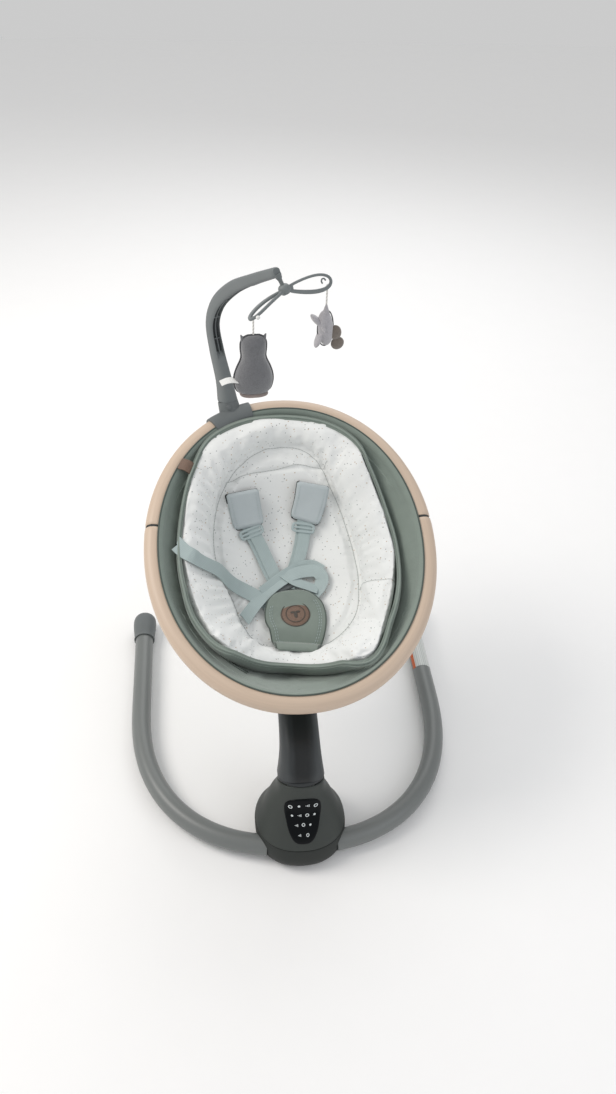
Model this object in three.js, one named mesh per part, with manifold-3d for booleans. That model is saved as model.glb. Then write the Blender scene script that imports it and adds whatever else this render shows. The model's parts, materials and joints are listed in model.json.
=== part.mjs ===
// Motorised baby swing: a steel-tube floor base, a drive housing, a tilted swinging arm,
// a swivelling and reclining oval seat with its harness, and a toy bar with a mobile.
// Millimetres, +Z up. The origin is on the floor under the middle of the drive housing;
// the seat's foot end faces -Y and its head end faces +Y.

import * as THREE from 'three';
import { mergeVertices } from 'three/addons/utils/BufferGeometryUtils.js';
import Module from 'manifold-3d';

const wasm = await Module();
wasm.setup();

// ---------------------------------------------------------------- driving dimensions

const GAP = 0.4; // clearance between neighbouring pieces

// Floor base: one horseshoe of steel tube in two halves, with flared plastic rear feet.
const TUBE_RADIUS = 19;
const TUBE_HEIGHT = 25; // centre line above the floor
const BASE_HALF_WIDTH = 300;
const BASE_FRONT_Y = -19;
const BASE_SIDE_Y = 319; // where the curved front turns into the straight sides
const BASE_EXPONENT = 2.37;
const TUBE_END_Y = 553;
const CAP_START_Y = 515;
const CAP_END_Y = 589;
const CAP_RADIUS = 25;

// Drive housing, as rings from the floor pad to the collar: front and back [y, z] and half width.
const HOUSING_RINGS = [
  { front: [-46, 3], back: [97, 3], half: 74 },
  { front: [-55, 12], back: [104, 12], half: 80 },
  { front: [-58, 28], back: [107, 28], half: 82.5 },
  { front: [-50.5, 50], back: [106, 50], half: 82 },
  { front: [-34, 82], back: [104, 72], half: 74 },
  { front: [-15, 110], back: [100, 92], half: 61 },
  { front: [-3, 137], back: [91, 112], half: 49 },
  { front: [4.6, 163.1], back: [80.6, 127.6], half: 42 },
];
const HOUSING_SPLIT = 3; // ring at which the lower tray meets the upper shell
const WALL = 3.5;

// Swing pivot: the arm's axis leans back, so the seat's own weight centres it.
const PIVOT = new THREE.Vector3(0, 43, 146);
const PIVOT_TILT = THREE.MathUtils.degToRad(25);
const SHAFT_RADIUS = 8;

// Swinging arm, as rings from the collar to its rear end: top and underside [y, z], half width.
const ARM_RINGS = [
  { top: [8.9, 172.3], under: [84.9, 136.4], half: 42 },
  { top: [15, 192], under: [95, 155], half: 39 },
  { top: [31, 212], under: [109, 171], half: 36.5 },
  { top: [60, 228], under: [129, 184], half: 35.5 },
  { top: [104, 238], under: [155, 194], half: 35 },
  { top: [165, 240], under: [194, 200], half: 34 },
  { top: [232, 237.5], under: [244, 202], half: 33.5 },
  { top: [300, 235.5], under: [300, 204], half: 33 },
  { top: [352, 235], under: [352, 206], half: 31 },
  { top: [376, 231], under: [376, 211], half: 26 },
];
const ARM_WALL = 4;
const ARM_SEAM = 0.22; // share of the arm's depth that belongs to the underside cover

// Seat carrier above the arm's rear end.
const HUB_Y = 330;
const HUB_BASE = 237.3;
const HUB_TOP = 243.4;
const RECLINE_Z = 264; // height of the recline pin
const SEAT_BASE_BOTTOM = 257;
const LEVER_Y = 407; // pivot of the recline lever
const LEVER_Z = 273;

// Seat: an oval ring, tilted head-up, with a fabric tub hanging inside it.
const SEAT_CENTRE = new THREE.Vector3(0, 324, 451);
const SEAT_TILT = THREE.MathUtils.degToRad(22);
const RIM_A = 246;
const RIM_B = 298;
const RIM_EXPONENT = 2.07;
const RIM_RADIUS = 17.5;
const RIM_SEAM = 7.6; // degrees of arc from the side to the seam between the two halves
const TUB_A = 227;
const TUB_B = 279;
const TUB_DEPTH = 168;
const TUB_EDGE = 8; // height of the tub's edge above the ring plane
const TUB_POWER = 2.6;
const TUB_SHIFT = -30; // the tub is deepest towards the feet
const COVER_THICKNESS = 5;
const PAD_OUTER = 6.5; // depth below the tub's outer face where the insert pad starts
const PAD_INNER = 34; // and where it ends

// Toy bar, in its own upright plane: [reach, height] from the clamp, and section sizes.
const CLAMP = new THREE.Vector3(-96.5, 591, 559);
const TOY_PLANE = new THREE.Vector3(0.5, -0.866, 0);
const TOY_PATH = [[-11, 33], [-23, 66], [-46, 119], [-58, 168], [-40, 214], [12, 266], [78, 309], [149, 350]];
const TOY_HALF_WIDTHS = [18, 17, 15, 14, 13.5, 12.5, 10, 8.5];
const TOY_HALF_DEPTHS = [14, 13, 12, 11, 10.5, 10, 9, 8];
const STEM_AXIS = new THREE.Vector3(-0.19, 0.329, 0.925).normalize();

// Mobile under the tip of the toy bar.
const MOBILE = new THREE.Vector3(-9.7, 456, 882);
const MOBILE_AXIS = new THREE.Vector3(-0.4316, 0.2105, 0.8772).normalize();
const VANE_LENGTH = 96;
const VANE_HALF_WIDTH = 15;
const VANE_LEFT = new THREE.Vector3(-0.615, -0.772, -0.158).normalize();
const VANE_RIGHT = new THREE.Vector3(0.863, 0.502, -0.062).normalize();
const OWL_HOOK = new THREE.Vector3(-63.4, 399.6, 859.2);
const BIRD_HOOK = new THREE.Vector3(65.5, 496.2, 866.3);

// ---------------------------------------------------------------- materials

const finish = (color, roughness, metalness = 0) =>
  new THREE.MeshStandardMaterial({ color, roughness, metalness });
const steelPaint = finish(0x6f7270, 0.45, 0.3);
const darkPlastic = finish(0x55585a, 0.6);
const housingPlastic = finish(0x4d524f, 0.55);
const glossBlack = finish(0x101214, 0.12);
const rimPlastic = finish(0xd3b79d, 0.5);
const sageFabric = finish(0x7d8a7f, 0.95);
const speckledJersey = finish(0xe9e9e7, 0.95);
const webbing = finish(0xaab5b5, 0.9);
const tanLeather = finish(0x9b7457, 0.6);
const greyFelt = finish(0x8d8f93, 1);
const cordWhite = finish(0xe6e4df, 0.9);
const bareSteel = finish(0xb5b8ba, 0.35, 0.9);
const copper = finish(0xa8683c, 0.4, 0.8);
const circuitGreen = finish(0x2f5d43, 0.6);
const rubber = finish(0x232425, 0.9);

// ---------------------------------------------------------------- geometry helpers

const part = new THREE.Group();
part.name = 'baby_swing';
const pivotFrame = new THREE.Group(); // +Z along the swing axis, +Y down its rear slope
pivotFrame.position.copy(PIVOT);
pivotFrame.rotation.x = -PIVOT_TILT;
const seatFrame = new THREE.Group(); // +Y along the seat towards the head, +Z out of the tub
seatFrame.position.copy(SEAT_CENTRE);
seatFrame.rotation.x = SEAT_TILT;
part.add(pivotFrame, seatFrame);
part.updateMatrixWorld(true);

function addPiece(name, geometry, material, frame = part) {
  const mesh = new THREE.Mesh(geometry, material);
  mesh.name = name;
  frame.add(mesh);
}

// A regular polygon as an outline for round sections.
function roundShape(radius, sides) {
  const corner = (_, i) => {
    const angle = ((i + 0.5) / sides) * 2 * Math.PI;
    return new THREE.Vector2(radius * Math.cos(angle), radius * Math.sin(angle));
  };
  return new THREE.Shape(Array.from({ length: sides }, corner));
}

function tube(curve, radius, steps, sides = 10) {
  return new THREE.ExtrudeGeometry(roundShape(radius, sides), { extrudePath: curve, steps, bevelEnabled: false });
}

// A round bar from one point to another.
function bar(from, to, radius, sides = 16) {
  return tube(new THREE.LineCurve3(from, to), radius, 1, sides);
}

function box(low, high) {
  const size = high.map((value, i) => value - low[i]);
  const middle = high.map((value, i) => (value + low[i]) / 2);
  return new THREE.BoxGeometry(...size).translate(...middle);
}

// A turned piece: [radius, height] profile about +Z.
function turned(profile, segments = 24) {
  const points = profile.map(([radius, height]) => new THREE.Vector2(radius, height));
  return new THREE.LatheGeometry(points, segments).rotateX(Math.PI / 2);
}

// A closed skin over rings of equal point counts, with a fan on each end.
function loft(rings) {
  const sides = rings[0].length;
  const points = rings.flat();
  const index = [];
  for (let ring = 1; ring < rings.length; ring += 1) {
    for (let side = 0; side < sides; side += 1) {
      const next = (side + 1) % sides;
      const [a, b] = [(ring - 1) * sides + side, (ring - 1) * sides + next];
      index.push(a, b, b + sides, a, b + sides, a + sides);
    }
  }
  const lastRing = (rings.length - 1) * sides;
  for (const [start, flip] of [[0, true], [lastRing, false]]) {
    const centre = new THREE.Vector3();
    points.slice(start, start + sides).forEach((point) => centre.addScaledVector(point, 1 / sides));
    const hub = points.push(centre) - 1;
    for (let side = 0; side < sides; side += 1) {
      const pair = [start + side, start + ((side + 1) % sides)];
      index.push(...(flip ? pair.reverse() : pair), hub);
    }
  }
  const geometry = new THREE.BufferGeometry().setFromPoints(points);
  geometry.setIndex(index);
  return signedVolume(geometry) < 0 ? insideOut(geometry) : geometry;
}

function signedVolume(geometry) {
  const { position } = geometry.attributes;
  const [a, b, c] = [new THREE.Vector3(), new THREE.Vector3(), new THREE.Vector3()];
  let volume = 0;
  for (let i = 0; i < geometry.index.count; i += 3) {
    a.fromBufferAttribute(position, geometry.index.getX(i));
    b.fromBufferAttribute(position, geometry.index.getX(i + 1));
    c.fromBufferAttribute(position, geometry.index.getX(i + 2));
    volume += a.dot(b.cross(c)) / 6;
  }
  return volume;
}

function insideOut(geometry) {
  geometry.setIndex(Array.from(geometry.index.array).reverse());
  return geometry;
}

function solid(geometry) {
  let skin = geometry.clone();
  skin.deleteAttribute('normal');
  skin.deleteAttribute('uv');
  skin = mergeVertices(skin, 1e-4);
  const vertProperties = new Float32Array(skin.attributes.position.array);
  const triVerts = new Uint32Array(skin.index.array);
  return new wasm.Manifold(new wasm.Mesh({ numProp: 3, vertProperties, triVerts }));
}

function skinOf(body) {
  const mesh = body.getMesh();
  const geometry = new THREE.BufferGeometry();
  geometry.setAttribute('position', new THREE.BufferAttribute(mesh.vertProperties, 3));
  geometry.setIndex(new THREE.BufferAttribute(mesh.triVerts, 1));
  return geometry;
}

const join = (...shapes) => shapes.map(solid).reduce((sum, shape) => sum.add(shape));
const cut = (shape, ...tools) => skinOf(tools.map(solid).reduce((body, tool) => body.subtract(tool), shape));

// Shapes drawn in a tilted frame, carried into the part's own frame.
const inPart = (geometry, frame) => geometry.clone().applyMatrix4(frame.matrixWorld);

// An oval ring across the part between two [y, z] points, with a half width along X.
function crossRing([y0, z0], [y1, z1], half, exponent, count) {
  const middle = new THREE.Vector3(0, (y0 + y1) / 2, (z0 + z1) / 2);
  const reach = new THREE.Vector3(0, (y1 - y0) / 2, (z1 - z0) / 2);
  const rounded = (value) => Math.sign(value) * Math.abs(value) ** (2 / exponent);
  return Array.from({ length: count }, (_, i) => {
    const angle = (i / count) * 2 * Math.PI;
    const point = middle.clone().addScaledVector(reach, rounded(Math.sin(angle)));
    point.x = half * rounded(Math.cos(angle));
    return point;
  });
}

// ---------------------------------------------------------------- floor base

class BaseCurve extends THREE.Curve {
  constructor(side) {
    super();
    this.side = side;
  }

  // A quarter of a rounded rectangle from the housing, then straight back to the rear foot.
  getPoint(t) {
    const curved = 0.62;
    if (t > curved) {
      const y = THREE.MathUtils.lerp(BASE_SIDE_Y, TUBE_END_Y, (t - curved) / (1 - curved));
      return new THREE.Vector3(this.side * BASE_HALF_WIDTH, y, TUBE_HEIGHT);
    }
    const angle = THREE.MathUtils.degToRad(THREE.MathUtils.lerp(9, 90, t / curved));
    const x = BASE_HALF_WIDTH * Math.sin(angle) ** (2 / BASE_EXPONENT);
    const y = BASE_SIDE_Y - (BASE_SIDE_Y - BASE_FRONT_Y) * Math.cos(angle) ** (2 / BASE_EXPONENT);
    return new THREE.Vector3(this.side * x, y, TUBE_HEIGHT);
  }
}

function buildBase() {
  for (const [name, side] of [['left', -1], ['right', 1]]) {
    addPiece(`base_tube_${name}`, tube(new BaseCurve(side), TUBE_RADIUS, 22, 10), steelPaint);
    addPiece(`end_cap_${name}`, endCap(side), darkPlastic);
  }
}

// A flared cup over the tube's end, with a rounded back.
function endCap(side) {
  const length = CAP_END_Y - CAP_START_Y;
  const depth = TUBE_END_Y - CAP_START_Y + GAP;
  const bore = TUBE_RADIUS + GAP;
  const profile = [[0, depth], [bore, depth], [bore, 0], [bore + 2.4, 0], [bore + 2.6, 4], [22.6, 16],
    [24.2, 32], [CAP_RADIUS, 48], [24.2, 60], [19, 69], [9, 73.3], [0, length]];
  return turned(profile, 16).rotateX(-Math.PI / 2).translate(side * BASE_HALF_WIDTH, CAP_START_Y, TUBE_HEIGHT);
}

// ---------------------------------------------------------------- drive housing

const housingLoft = (rings, inset = 0) => loft(rings.map(({ front, back, half }) =>
  crossRing([front[0] + inset, front[1]], [back[0] - inset, back[1]], half - inset, 2.25, 24)));

const tubeSockets = () => [-1, 1].map((side) => tube(new BaseCurve(side), TUBE_RADIUS + GAP, 22, 10));

// A rounded trapezoid through the front slope, wider at the top.
function panelPrism(extra) {
  const [topHalf, bottomHalf, low, high] = [31 + extra, 18 + extra, -38 - extra, 36 + extra];
  const outline = new THREE.Shape([[-bottomHalf + 4, low], [bottomHalf - 4, low], [bottomHalf, low + 5],
    [topHalf, high - 7], [topHalf - 7, high], [-topHalf + 7, high], [-topHalf, high - 7], [-bottomHalf, low + 5]]
    .map(([x, y]) => new THREE.Vector2(x, y)));
  const prism = new THREE.ExtrudeGeometry(outline, { depth: 60, bevelEnabled: false });
  return prism.translate(0, 0, -30).rotateX(THREE.MathUtils.degToRad(62)).translate(0, -24, 101);
}

function buildHousing() {
  const split = HOUSING_RINGS[HOUSING_SPLIT];
  const lowerRings = HOUSING_RINGS.slice(0, HOUSING_SPLIT + 1);
  const lowerInside = [
    { front: [-52, 7], back: [101, 7], half: 76 },
    { front: [-55, 28], back: [104, 28], half: 79 },
    { front: [-47, 60], back: [102.5, 60], half: 78.5 },
  ];
  const socketHole = bar(new THREE.Vector3(34, 90, 26), new THREE.Vector3(34, 115, 26), 7.2, 12);
  addPiece('housing_lower', cut(solid(housingLoft(lowerRings)), housingLoft(lowerInside), ...tubeSockets(),
    socketHole, ...screwSpots().map((spot) => screwHole(spot))), housingPlastic);

  const lift = GAP;
  const upperRings = HOUSING_RINGS.slice(HOUSING_SPLIT);
  upperRings[0] = { ...split, front: [split.front[0], split.front[1] + lift], back: [split.back[0], 50 + lift] };
  const upperInside = upperRings.map(({ front, back, half }, i) => {
    const drop = i === upperRings.length - 1 ? 4 : 0;
    return { front: [front[0] - drop * 0.42, front[1] - drop], back: [back[0] - drop * 0.42, back[1] - drop], half };
  });
  upperInside.unshift({ front: [-52, 40], back: [106, 40], half: 82 });
  const shaftHole = inPart(bar(new THREE.Vector3(0, 0, -30), new THREE.Vector3(0, 0, 10), SHAFT_RADIUS + 4), pivotFrame);
  const shell = solid(housingLoft(upperRings)).subtract(solid(housingLoft(upperInside, WALL)));
  addPiece('housing_upper', skinOf(shell.subtract(solid(panelPrism(GAP))).subtract(solid(shaftHole))
    .subtract(join(...tubeSockets()))), housingPlastic);
  addPiece('control_panel', skinOf(shell.intersect(solid(panelPrism(0)))), glossBlack);

  addPiece('control_board', box([-16, -30, -1], [16, 26, 1]).rotateX(THREE.MathUtils.degToRad(62))
    .translate(0, -10, 94), circuitGreen);
  addPiece('speaker', turned([[0, 0], [20, 0], [20, 4], [11, 11], [0, 11]], 20).translate(46, 50, 7.6), darkPlastic);
  const socket = turned([[0, 0], [6.8, 0], [6.8, 14], [3.6, 14], [3.6, 4], [0, 4]], 12);
  addPiece('power_socket', socket.rotateX(-Math.PI / 2).translate(34, 91, 26), rubber);
  const footing = [{ front: [-41, 0], back: [92, 0], half: 69 }, { front: [-43, 2.6], back: [94, 2.6], half: 71 }];
  addPiece('floor_pad', housingLoft(footing), rubber);
  screwSpots().forEach((spot, i) => addPiece(`housing_screw_${i + 1}`, housingScrew(spot), bareSteel));
}

const screwSpots = () => [[-44, -12], [44, -12], [-46, 70]];
const screwHole = ([x, y]) => bar(new THREE.Vector3(x, y, 0), new THREE.Vector3(x, y, 9), 3.4, 12);

// A pan-head screw that stands up inside the tray from the floor pad.
function housingScrew([x, y]) {
  return turned([[0, 3], [3, 3], [3, 7.6], [5.4, 7.6], [5.4, 10], [3.5, 11.4], [0, 11.4]], 12).translate(x, y, 0);
}

// Bearings, shaft and electromagnetic drive, in the tilted frame of the swing axis.
function buildDrive() {
  const axisBar = (low, high, radius, sides = 20) =>
    bar(new THREE.Vector3(0, 0, low), new THREE.Vector3(0, 0, high), radius, sides);
  const upperPlate = axisBar(-30, -18, 25);
  const lowerPlate = axisBar(-92, -80, 25);
  const shelf = box([-20, 0, -92], [20, 82, -84]);
  const webs = [-1, 1].map((side) => box([side > 0 ? 19 : -24, -8, -88], [side > 0 ? 24 : -19, 8, -22]));
  const frame = join(...[upperPlate, lowerPlate, shelf, ...webs].map((shape) => inPart(shape, pivotFrame)),
    box([-24, -6, 7.4], [-14, 12, 72]), box([14, -6, 7.4], [24, 12, 72]), box([-24, -6, 7.4], [24, 12, 12]));
  const bores = [axisBar(-31, -17, 16 + GAP), axisBar(-93, -79, 16 + GAP), axisBar(-112, 0, SHAFT_RADIUS + 1)];
  addPiece('bearing_frame', skinOf(bores.reduce((body, bore) => body.subtract(solid(inPart(bore, pivotFrame))), frame)),
    bareSteel);
  for (const [name, low] of [['upper', -29.5], ['lower', -91.5]]) {
    const ring = [[SHAFT_RADIUS + 0.35, low], [16, low], [16, low + 11], [SHAFT_RADIUS + 0.35, low + 11],
      [SHAFT_RADIUS + 0.35, low]];
    addPiece(`pivot_bearing_${name}`, turned(ring, 20), bareSteel, pivotFrame);
  }
  const coil = [[6, -83.5], [15, -83.5], [15, -67], [6, -67], [6, -83.5]];
  addPiece('drive_coil', turned(coil, 20).translate(0, 62, 0), copper, pivotFrame);
  addPiece('pivot_shaft', axisBar(-100, 26, SHAFT_RADIUS, 20), bareSteel, pivotFrame);
  addPiece('magnet_lever', cut(join(axisBar(-58, -44, 15), box([-9, 10, -56], [9, 78, -50])),
    axisBar(-70, -30, SHAFT_RADIUS + GAP)), darkPlastic, pivotFrame);
  addPiece('drive_magnet', box([-9, 52, -64], [9, 72, -56.4]), bareSteel, pivotFrame);
}

// ---------------------------------------------------------------- swinging arm

const armRing = ({ top, under, half }, inset = 0, shift = [0, 0]) => {
  const [dy, dz] = [top[0] - under[0], top[1] - under[1]];
  const share = inset / Math.hypot(dy, dz);
  return crossRing([under[0] + dy * share + shift[0], under[1] + dz * share + shift[1]],
    [top[0] - dy * share + shift[0], top[1] - dz * share + shift[1]], half - inset, 2.7, 16);
};

// The band along the arm's underside that its cover fills.
const armBand = (seam, trim) => loft(ARM_RINGS.slice(2, -1).map(({ top, under, half }, i, all) => {
  const [dy, dz] = [top[0] - under[0], top[1] - under[1]];
  const push = i === 0 ? trim : i === all.length - 1 ? -trim : 0;
  return crossRing([under[0] - dy * 0.4 + push, under[1] - dz * 0.4], [under[0] + dy * seam + push,
    under[1] + dz * seam], half * 1.4, 12, 16);
}));

function buildArm() {
  const last = ARM_RINGS.length - 1;
  const full = solid(loft(ARM_RINGS.map((ring) => armRing(ring))));
  const inner = solid(loft(ARM_RINGS.map((ring, i) =>
    armRing(ring, ARM_WALL, i === 0 ? [2.5, 5.4] : i === last ? [-5, 0] : [0, 0]))));
  const hollow = full.subtract(inner);
  const shaftHole = inPart(bar(new THREE.Vector3(0, 0, 5), new THREE.Vector3(0, 0, 28), SHAFT_RADIUS + GAP), pivotFrame);
  const hubHole = bar(new THREE.Vector3(0, HUB_Y, 200), new THREE.Vector3(0, HUB_Y, 245), 14 + GAP);
  const buttonHole = bar(new THREE.Vector3(0, 365, 221), new THREE.Vector3(0, 380, 221), 7 + GAP);
  addPiece('arm_shell', cut(hollow.subtract(solid(armBand(ARM_SEAM, 0))), shaftHole, hubHole, buttonHole),
    housingPlastic);
  addPiece('arm_cover', skinOf(hollow.intersect(solid(armBand(ARM_SEAM - 0.012, GAP)))), darkPlastic);

  const collar = [[SHAFT_RADIUS + GAP, 0.5], [39, 0.5], [41.6, 2.5], [41.6, 7], [40.5, 8.4],
    [SHAFT_RADIUS + GAP, 8.4], [SHAFT_RADIUS + GAP, 0.5]];
  addPiece('collar', turned(collar, 28), darkPlastic, pivotFrame);
  const hub = [[7.6, 214], [14, 214], [14, HUB_BASE], [30, HUB_BASE], [30, HUB_TOP], [7.6, HUB_TOP], [7.6, 214]];
  addPiece('seat_hub', turned(hub, 24).translate(0, HUB_Y, 0), darkPlastic);
  addPiece('seat_release_button', bar(new THREE.Vector3(0, 362, 221), new THREE.Vector3(0, 381, 221), 7, 16), darkPlastic);
}

// ---------------------------------------------------------------- seat carrier and base

function buildCarrier() {
  const plate = [[0, 218], [7, 218], [7, HUB_TOP + 0.5], [34, HUB_TOP + 0.5], [34, 248], [0, 248]];
  addPiece('swivel_plate', turned(plate, 24).translate(0, HUB_Y, 0), bareSteel);
  const floor = box([-44, HUB_Y - 16, 248.4], [44, HUB_Y + 16, 252]);
  const ears = [-1, 1].map((side) => box([side > 0 ? 38 : -44, HUB_Y - 12, 250], [side > 0 ? 44 : -38, HUB_Y + 12, 274]));
  const pinHole = crossBar(60, HUB_Y, RECLINE_Z, 4 + GAP);
  addPiece('recline_bracket', skinOf(join(floor, ...ears).subtract(solid(pinHole))), bareSteel);
  addPiece('recline_pin', crossBar(47, HUB_Y, RECLINE_Z, 4), bareSteel);
}

const crossBar = (half, y, z, radius) =>
  bar(new THREE.Vector3(-half, y, z), new THREE.Vector3(half, y, z), radius, 16);

const hoopCurve = () => new THREE.CatmullRomCurve3([[-245, 370.5, 446], [-238, 369, 410], [-210, 366, 350],
  [-156, 362, 302], [-84, 358, 277], [0, 356, 271], [84, 358, 277], [156, 362, 302], [210, 366, 350],
  [238, 369, 410], [245, 370.5, 446]].map((point) => new THREE.Vector3(...point)), false, 'centripetal');

function buildSeatBase() {
  const ring = (z, shrink) => crossRing([268 + shrink, z], [398 - shrink, z], 68 - shrink, 3.4, 24);
  const block = loft([ring(SEAT_BASE_BOTTOM, 5), ring(SEAT_BASE_BOTTOM + 5, 0), ring(325, 0)]);
  const lugs = [-1, 1].map((side) => box([side > 0 ? 30 : -37, 385, 264], [side > 0 ? 37 : -30, 416, 283]));
  const slots = [-1, 1].map((side) => box([side > 0 ? 36.6 : -45.4, 309, 250], [side > 0 ? 45.4 : -36.6, 351, 285]));
  const pinEnds = crossBar(49, HUB_Y, RECLINE_Z, 4 + GAP);
  addPiece('seat_base', skinOf([inPart(filledTub(-1.5), seatFrame), tube(hoopCurve(), 8 + GAP, 24, 8), pinEnds,
    crossBar(60, LEVER_Y, LEVER_Z, 3.3), ...slots].reduce((body, tool) => body.subtract(solid(tool)), join(block, ...lugs))),
  darkPlastic);
  addPiece('cradle_hoop', tube(hoopCurve(), 8, 24, 8), steelPaint);
  const barrel = crossBar(29, LEVER_Y, LEVER_Z, 6.5);
  const trunnions = crossBar(36, LEVER_Y, LEVER_Z, 3);
  const paddle = box([-24, LEVER_Y, 268], [24, 440, 273]);
  addPiece('recline_lever', skinOf(join(barrel, trunnions, paddle)), darkPlastic);
}

// ---------------------------------------------------------------- seat ring and tub

class RimCurve extends THREE.Curve {
  constructor(fromDegrees, toDegrees) {
    super();
    [this.from, this.to] = [fromDegrees, toDegrees];
  }

  // A slightly squared oval in the ring plane.
  getPoint(t) {
    const angle = THREE.MathUtils.degToRad(THREE.MathUtils.lerp(this.from, this.to, t));
    const rounded = (value) => Math.sign(value) * Math.abs(value) ** (2 / RIM_EXPONENT);
    return new THREE.Vector3(RIM_A * rounded(Math.cos(angle)), RIM_B * rounded(Math.sin(angle)), 0);
  }
}

// The tub as a filled bowl: sections of the oval, deeper towards the middle.
function tubRing(share, inset, drop = 0) {
  const middle = TUB_SHIFT * (1 - share ** 2);
  const height = TUB_EDGE - (TUB_DEPTH - inset) * (1 - share ** TUB_POWER) + drop;
  return Array.from({ length: 28 }, (_, i) => {
    const angle = (i / 28) * 2 * Math.PI;
    return new THREE.Vector3((TUB_A - inset) * share * Math.cos(angle),
      middle + (TUB_B - inset) * share * Math.sin(angle), height);
  });
}

function filledTub(inset, above = 0) {
  const rings = [1, 0.92, 0.82, 0.69, 0.54, 0.36, 0.16].map((share) => tubRing(share, inset));
  return loft(above ? [tubRing(1, inset, above), ...rings] : rings);
}

// Height of the tub's surface at a place in the ring plane, found by repeated substitution.
function tubHeight(u, v, inset) {
  let share = 0.5;
  for (let i = 0; i < 30; i += 1) {
    const middle = TUB_SHIFT * (1 - Math.min(share, 1) ** 2);
    share = Math.hypot(u / (TUB_A - inset), (v - middle) / (TUB_B - inset));
  }
  return TUB_EDGE - (TUB_DEPTH - inset) * (1 - Math.min(share, 1) ** TUB_POWER);
}

function buildRim() {
  const halfGap = 0.46; // degrees of arc, about 2 mm
  const halves = { rim_head_half: [RIM_SEAM, 180 - RIM_SEAM], rim_foot_half: [180 + -RIM_SEAM, 360 + RIM_SEAM] };
  for (const [name, [from, to]] of Object.entries(halves)) {
    addPiece(name, tube(new RimCurve(from + halfGap, to - halfGap), RIM_RADIUS, 26, 10), rimPlastic, seatFrame);
  }
  for (const [name, angle] of [['right', RIM_SEAM], ['left', 180 - RIM_SEAM]]) {
    const ring = new RimCurve(angle - 0.36, angle + 0.36);
    addPiece(`rim_joint_${name}`, tube(ring, RIM_RADIUS - 1, 1, 10), darkPlastic, seatFrame);
  }
}

function buildTub() {
  const cover = solid(filledTub(0)).subtract(solid(filledTub(COVER_THICKNESS, 20)));
  addPiece('seat_cover', skinOf(cover), sageFabric, seatFrame);
  const shell = solid(filledTub(PAD_OUTER)).subtract(solid(filledTub(PAD_INNER, 20)));
  const outline = (w) => crossRing([-205, w], [264, w], 197, 2.35, 32);
  addPiece('insert_pad', skinOf(shell.intersect(solid(loft([outline(-180), outline(60)])))), speckledJersey, seatFrame);
}

// A flat strip laid over the pad: [u, v] path, width, thickness and height above the pad.
function strip(path, width, thickness, lift) {
  const place = ([u, v, extra = 0]) => new THREE.Vector3(u, v, tubHeight(u, v, PAD_INNER) + lift + extra);
  const normal = ([u, v]) => new THREE.Vector3(tubHeight(u - 1, v, PAD_INNER) - tubHeight(u + 1, v, PAD_INNER),
    tubHeight(u, v - 1, PAD_INNER) - tubHeight(u, v + 1, PAD_INNER), 2).normalize();
  const points = path.map(place);
  return loft(path.map((spot, i) => {
    const along = points[Math.min(i + 1, path.length - 1)].clone().sub(points[Math.max(i - 1, 0)]).normalize();
    const across = along.clone().cross(normal(spot)).normalize();
    const up = across.clone().cross(along).normalize();
    return [[-1, -1], [1, -1], [1, 1], [-1, 1]].map(([s, t]) => points[i].clone()
      .addScaledVector(across, (s * width) / 2).addScaledVector(up, (t * thickness) / 2));
  }));
}

function buildHarness() {
  const add = (name, path, width, thickness, lift, material) =>
    addPiece(name, strip(path, width, thickness, lift, material), material, seatFrame);
  add('shoulder_pad_left', [[-82, 156], [-76, 128], [-70, 96]], 60, 16, 17, webbing);
  add('shoulder_pad_right', [[57, 160], [49, 130], [39, 98]], 58, 16, 17, webbing);
  add('strap_adjuster_left', [[-68, 90], [-65, 78]], 42, 5, 10, darkPlastic);
  add('strap_adjuster_right', [[36, 92], [34, 80]], 42, 5, 10, darkPlastic);
  add('shoulder_strap_left', [[-63, 73], [-50, 45], [-37, 15], [-27, -8]], 28, 1.6, 8, webbing);
  add('shoulder_strap_right', [[32, 75], [26, 50], [20, 30], [14, 12]], 26, 1.6, 8, webbing);
  add('harness_buckle', [[-18, -14], [-6, -30]], 58, 9, 10, darkPlastic);
  add('waist_strap_left', [[-164, -12], [-140, -18], [-116, -24], [-90, -34], [-66, -44]], 28, 1.6, 8, webbing);
  add('waist_strap_right', [[118, -8], [94, -10], [72, -14], [50, -22]], 28, 1.6, 8, webbing);
  add('crotch_pad', [[-2, -50], [2, -80], [4, -112], [4, -146]], 96, 14, 20, sageFabric);
  add('crotch_badge', [[0, -62], [4, -96]], 46, 2.4, 30, tanLeather);
  const tag = box([-1.2, -11, -2], [1.2, 11, 24]).rotateZ(-0.54).translate(-181, 161, 12);
  addPiece('side_tag', tag, tanLeather, seatFrame);
}

// ---------------------------------------------------------------- toy bar and mobile

function toyPoint([reach, height]) {
  return CLAMP.clone().addScaledVector(TOY_PLANE, reach).add(new THREE.Vector3(0, 0, height));
}

// The bar's section turns with its path: wide in the bar's plane, narrower across it.
function toyArm() {
  const curve = new THREE.CatmullRomCurve3(TOY_PATH.map(toyPoint), false, 'centripetal');
  const across = new THREE.Vector3(0, 0, 1).cross(TOY_PLANE).normalize();
  const steps = 18;
  const sized = (list, t) => {
    const place = t * (list.length - 1);
    const low = Math.min(Math.floor(place), list.length - 2);
    return THREE.MathUtils.lerp(list[low], list[low + 1], place - low);
  };
  return loft(Array.from({ length: steps + 1 }, (_, i) => {
    const t = i / steps;
    const tangent = curve.getTangent(t);
    const outward = tangent.clone().cross(across).normalize();
    return Array.from({ length: 10 }, (__, k) => {
      const angle = (k / 10) * 2 * Math.PI;
      return curve.getPoint(t).addScaledVector(outward, sized(TOY_HALF_WIDTHS, t) * Math.cos(angle))
        .addScaledVector(across, sized(TOY_HALF_DEPTHS, t) * Math.sin(angle));
    });
  }));
}

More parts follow.
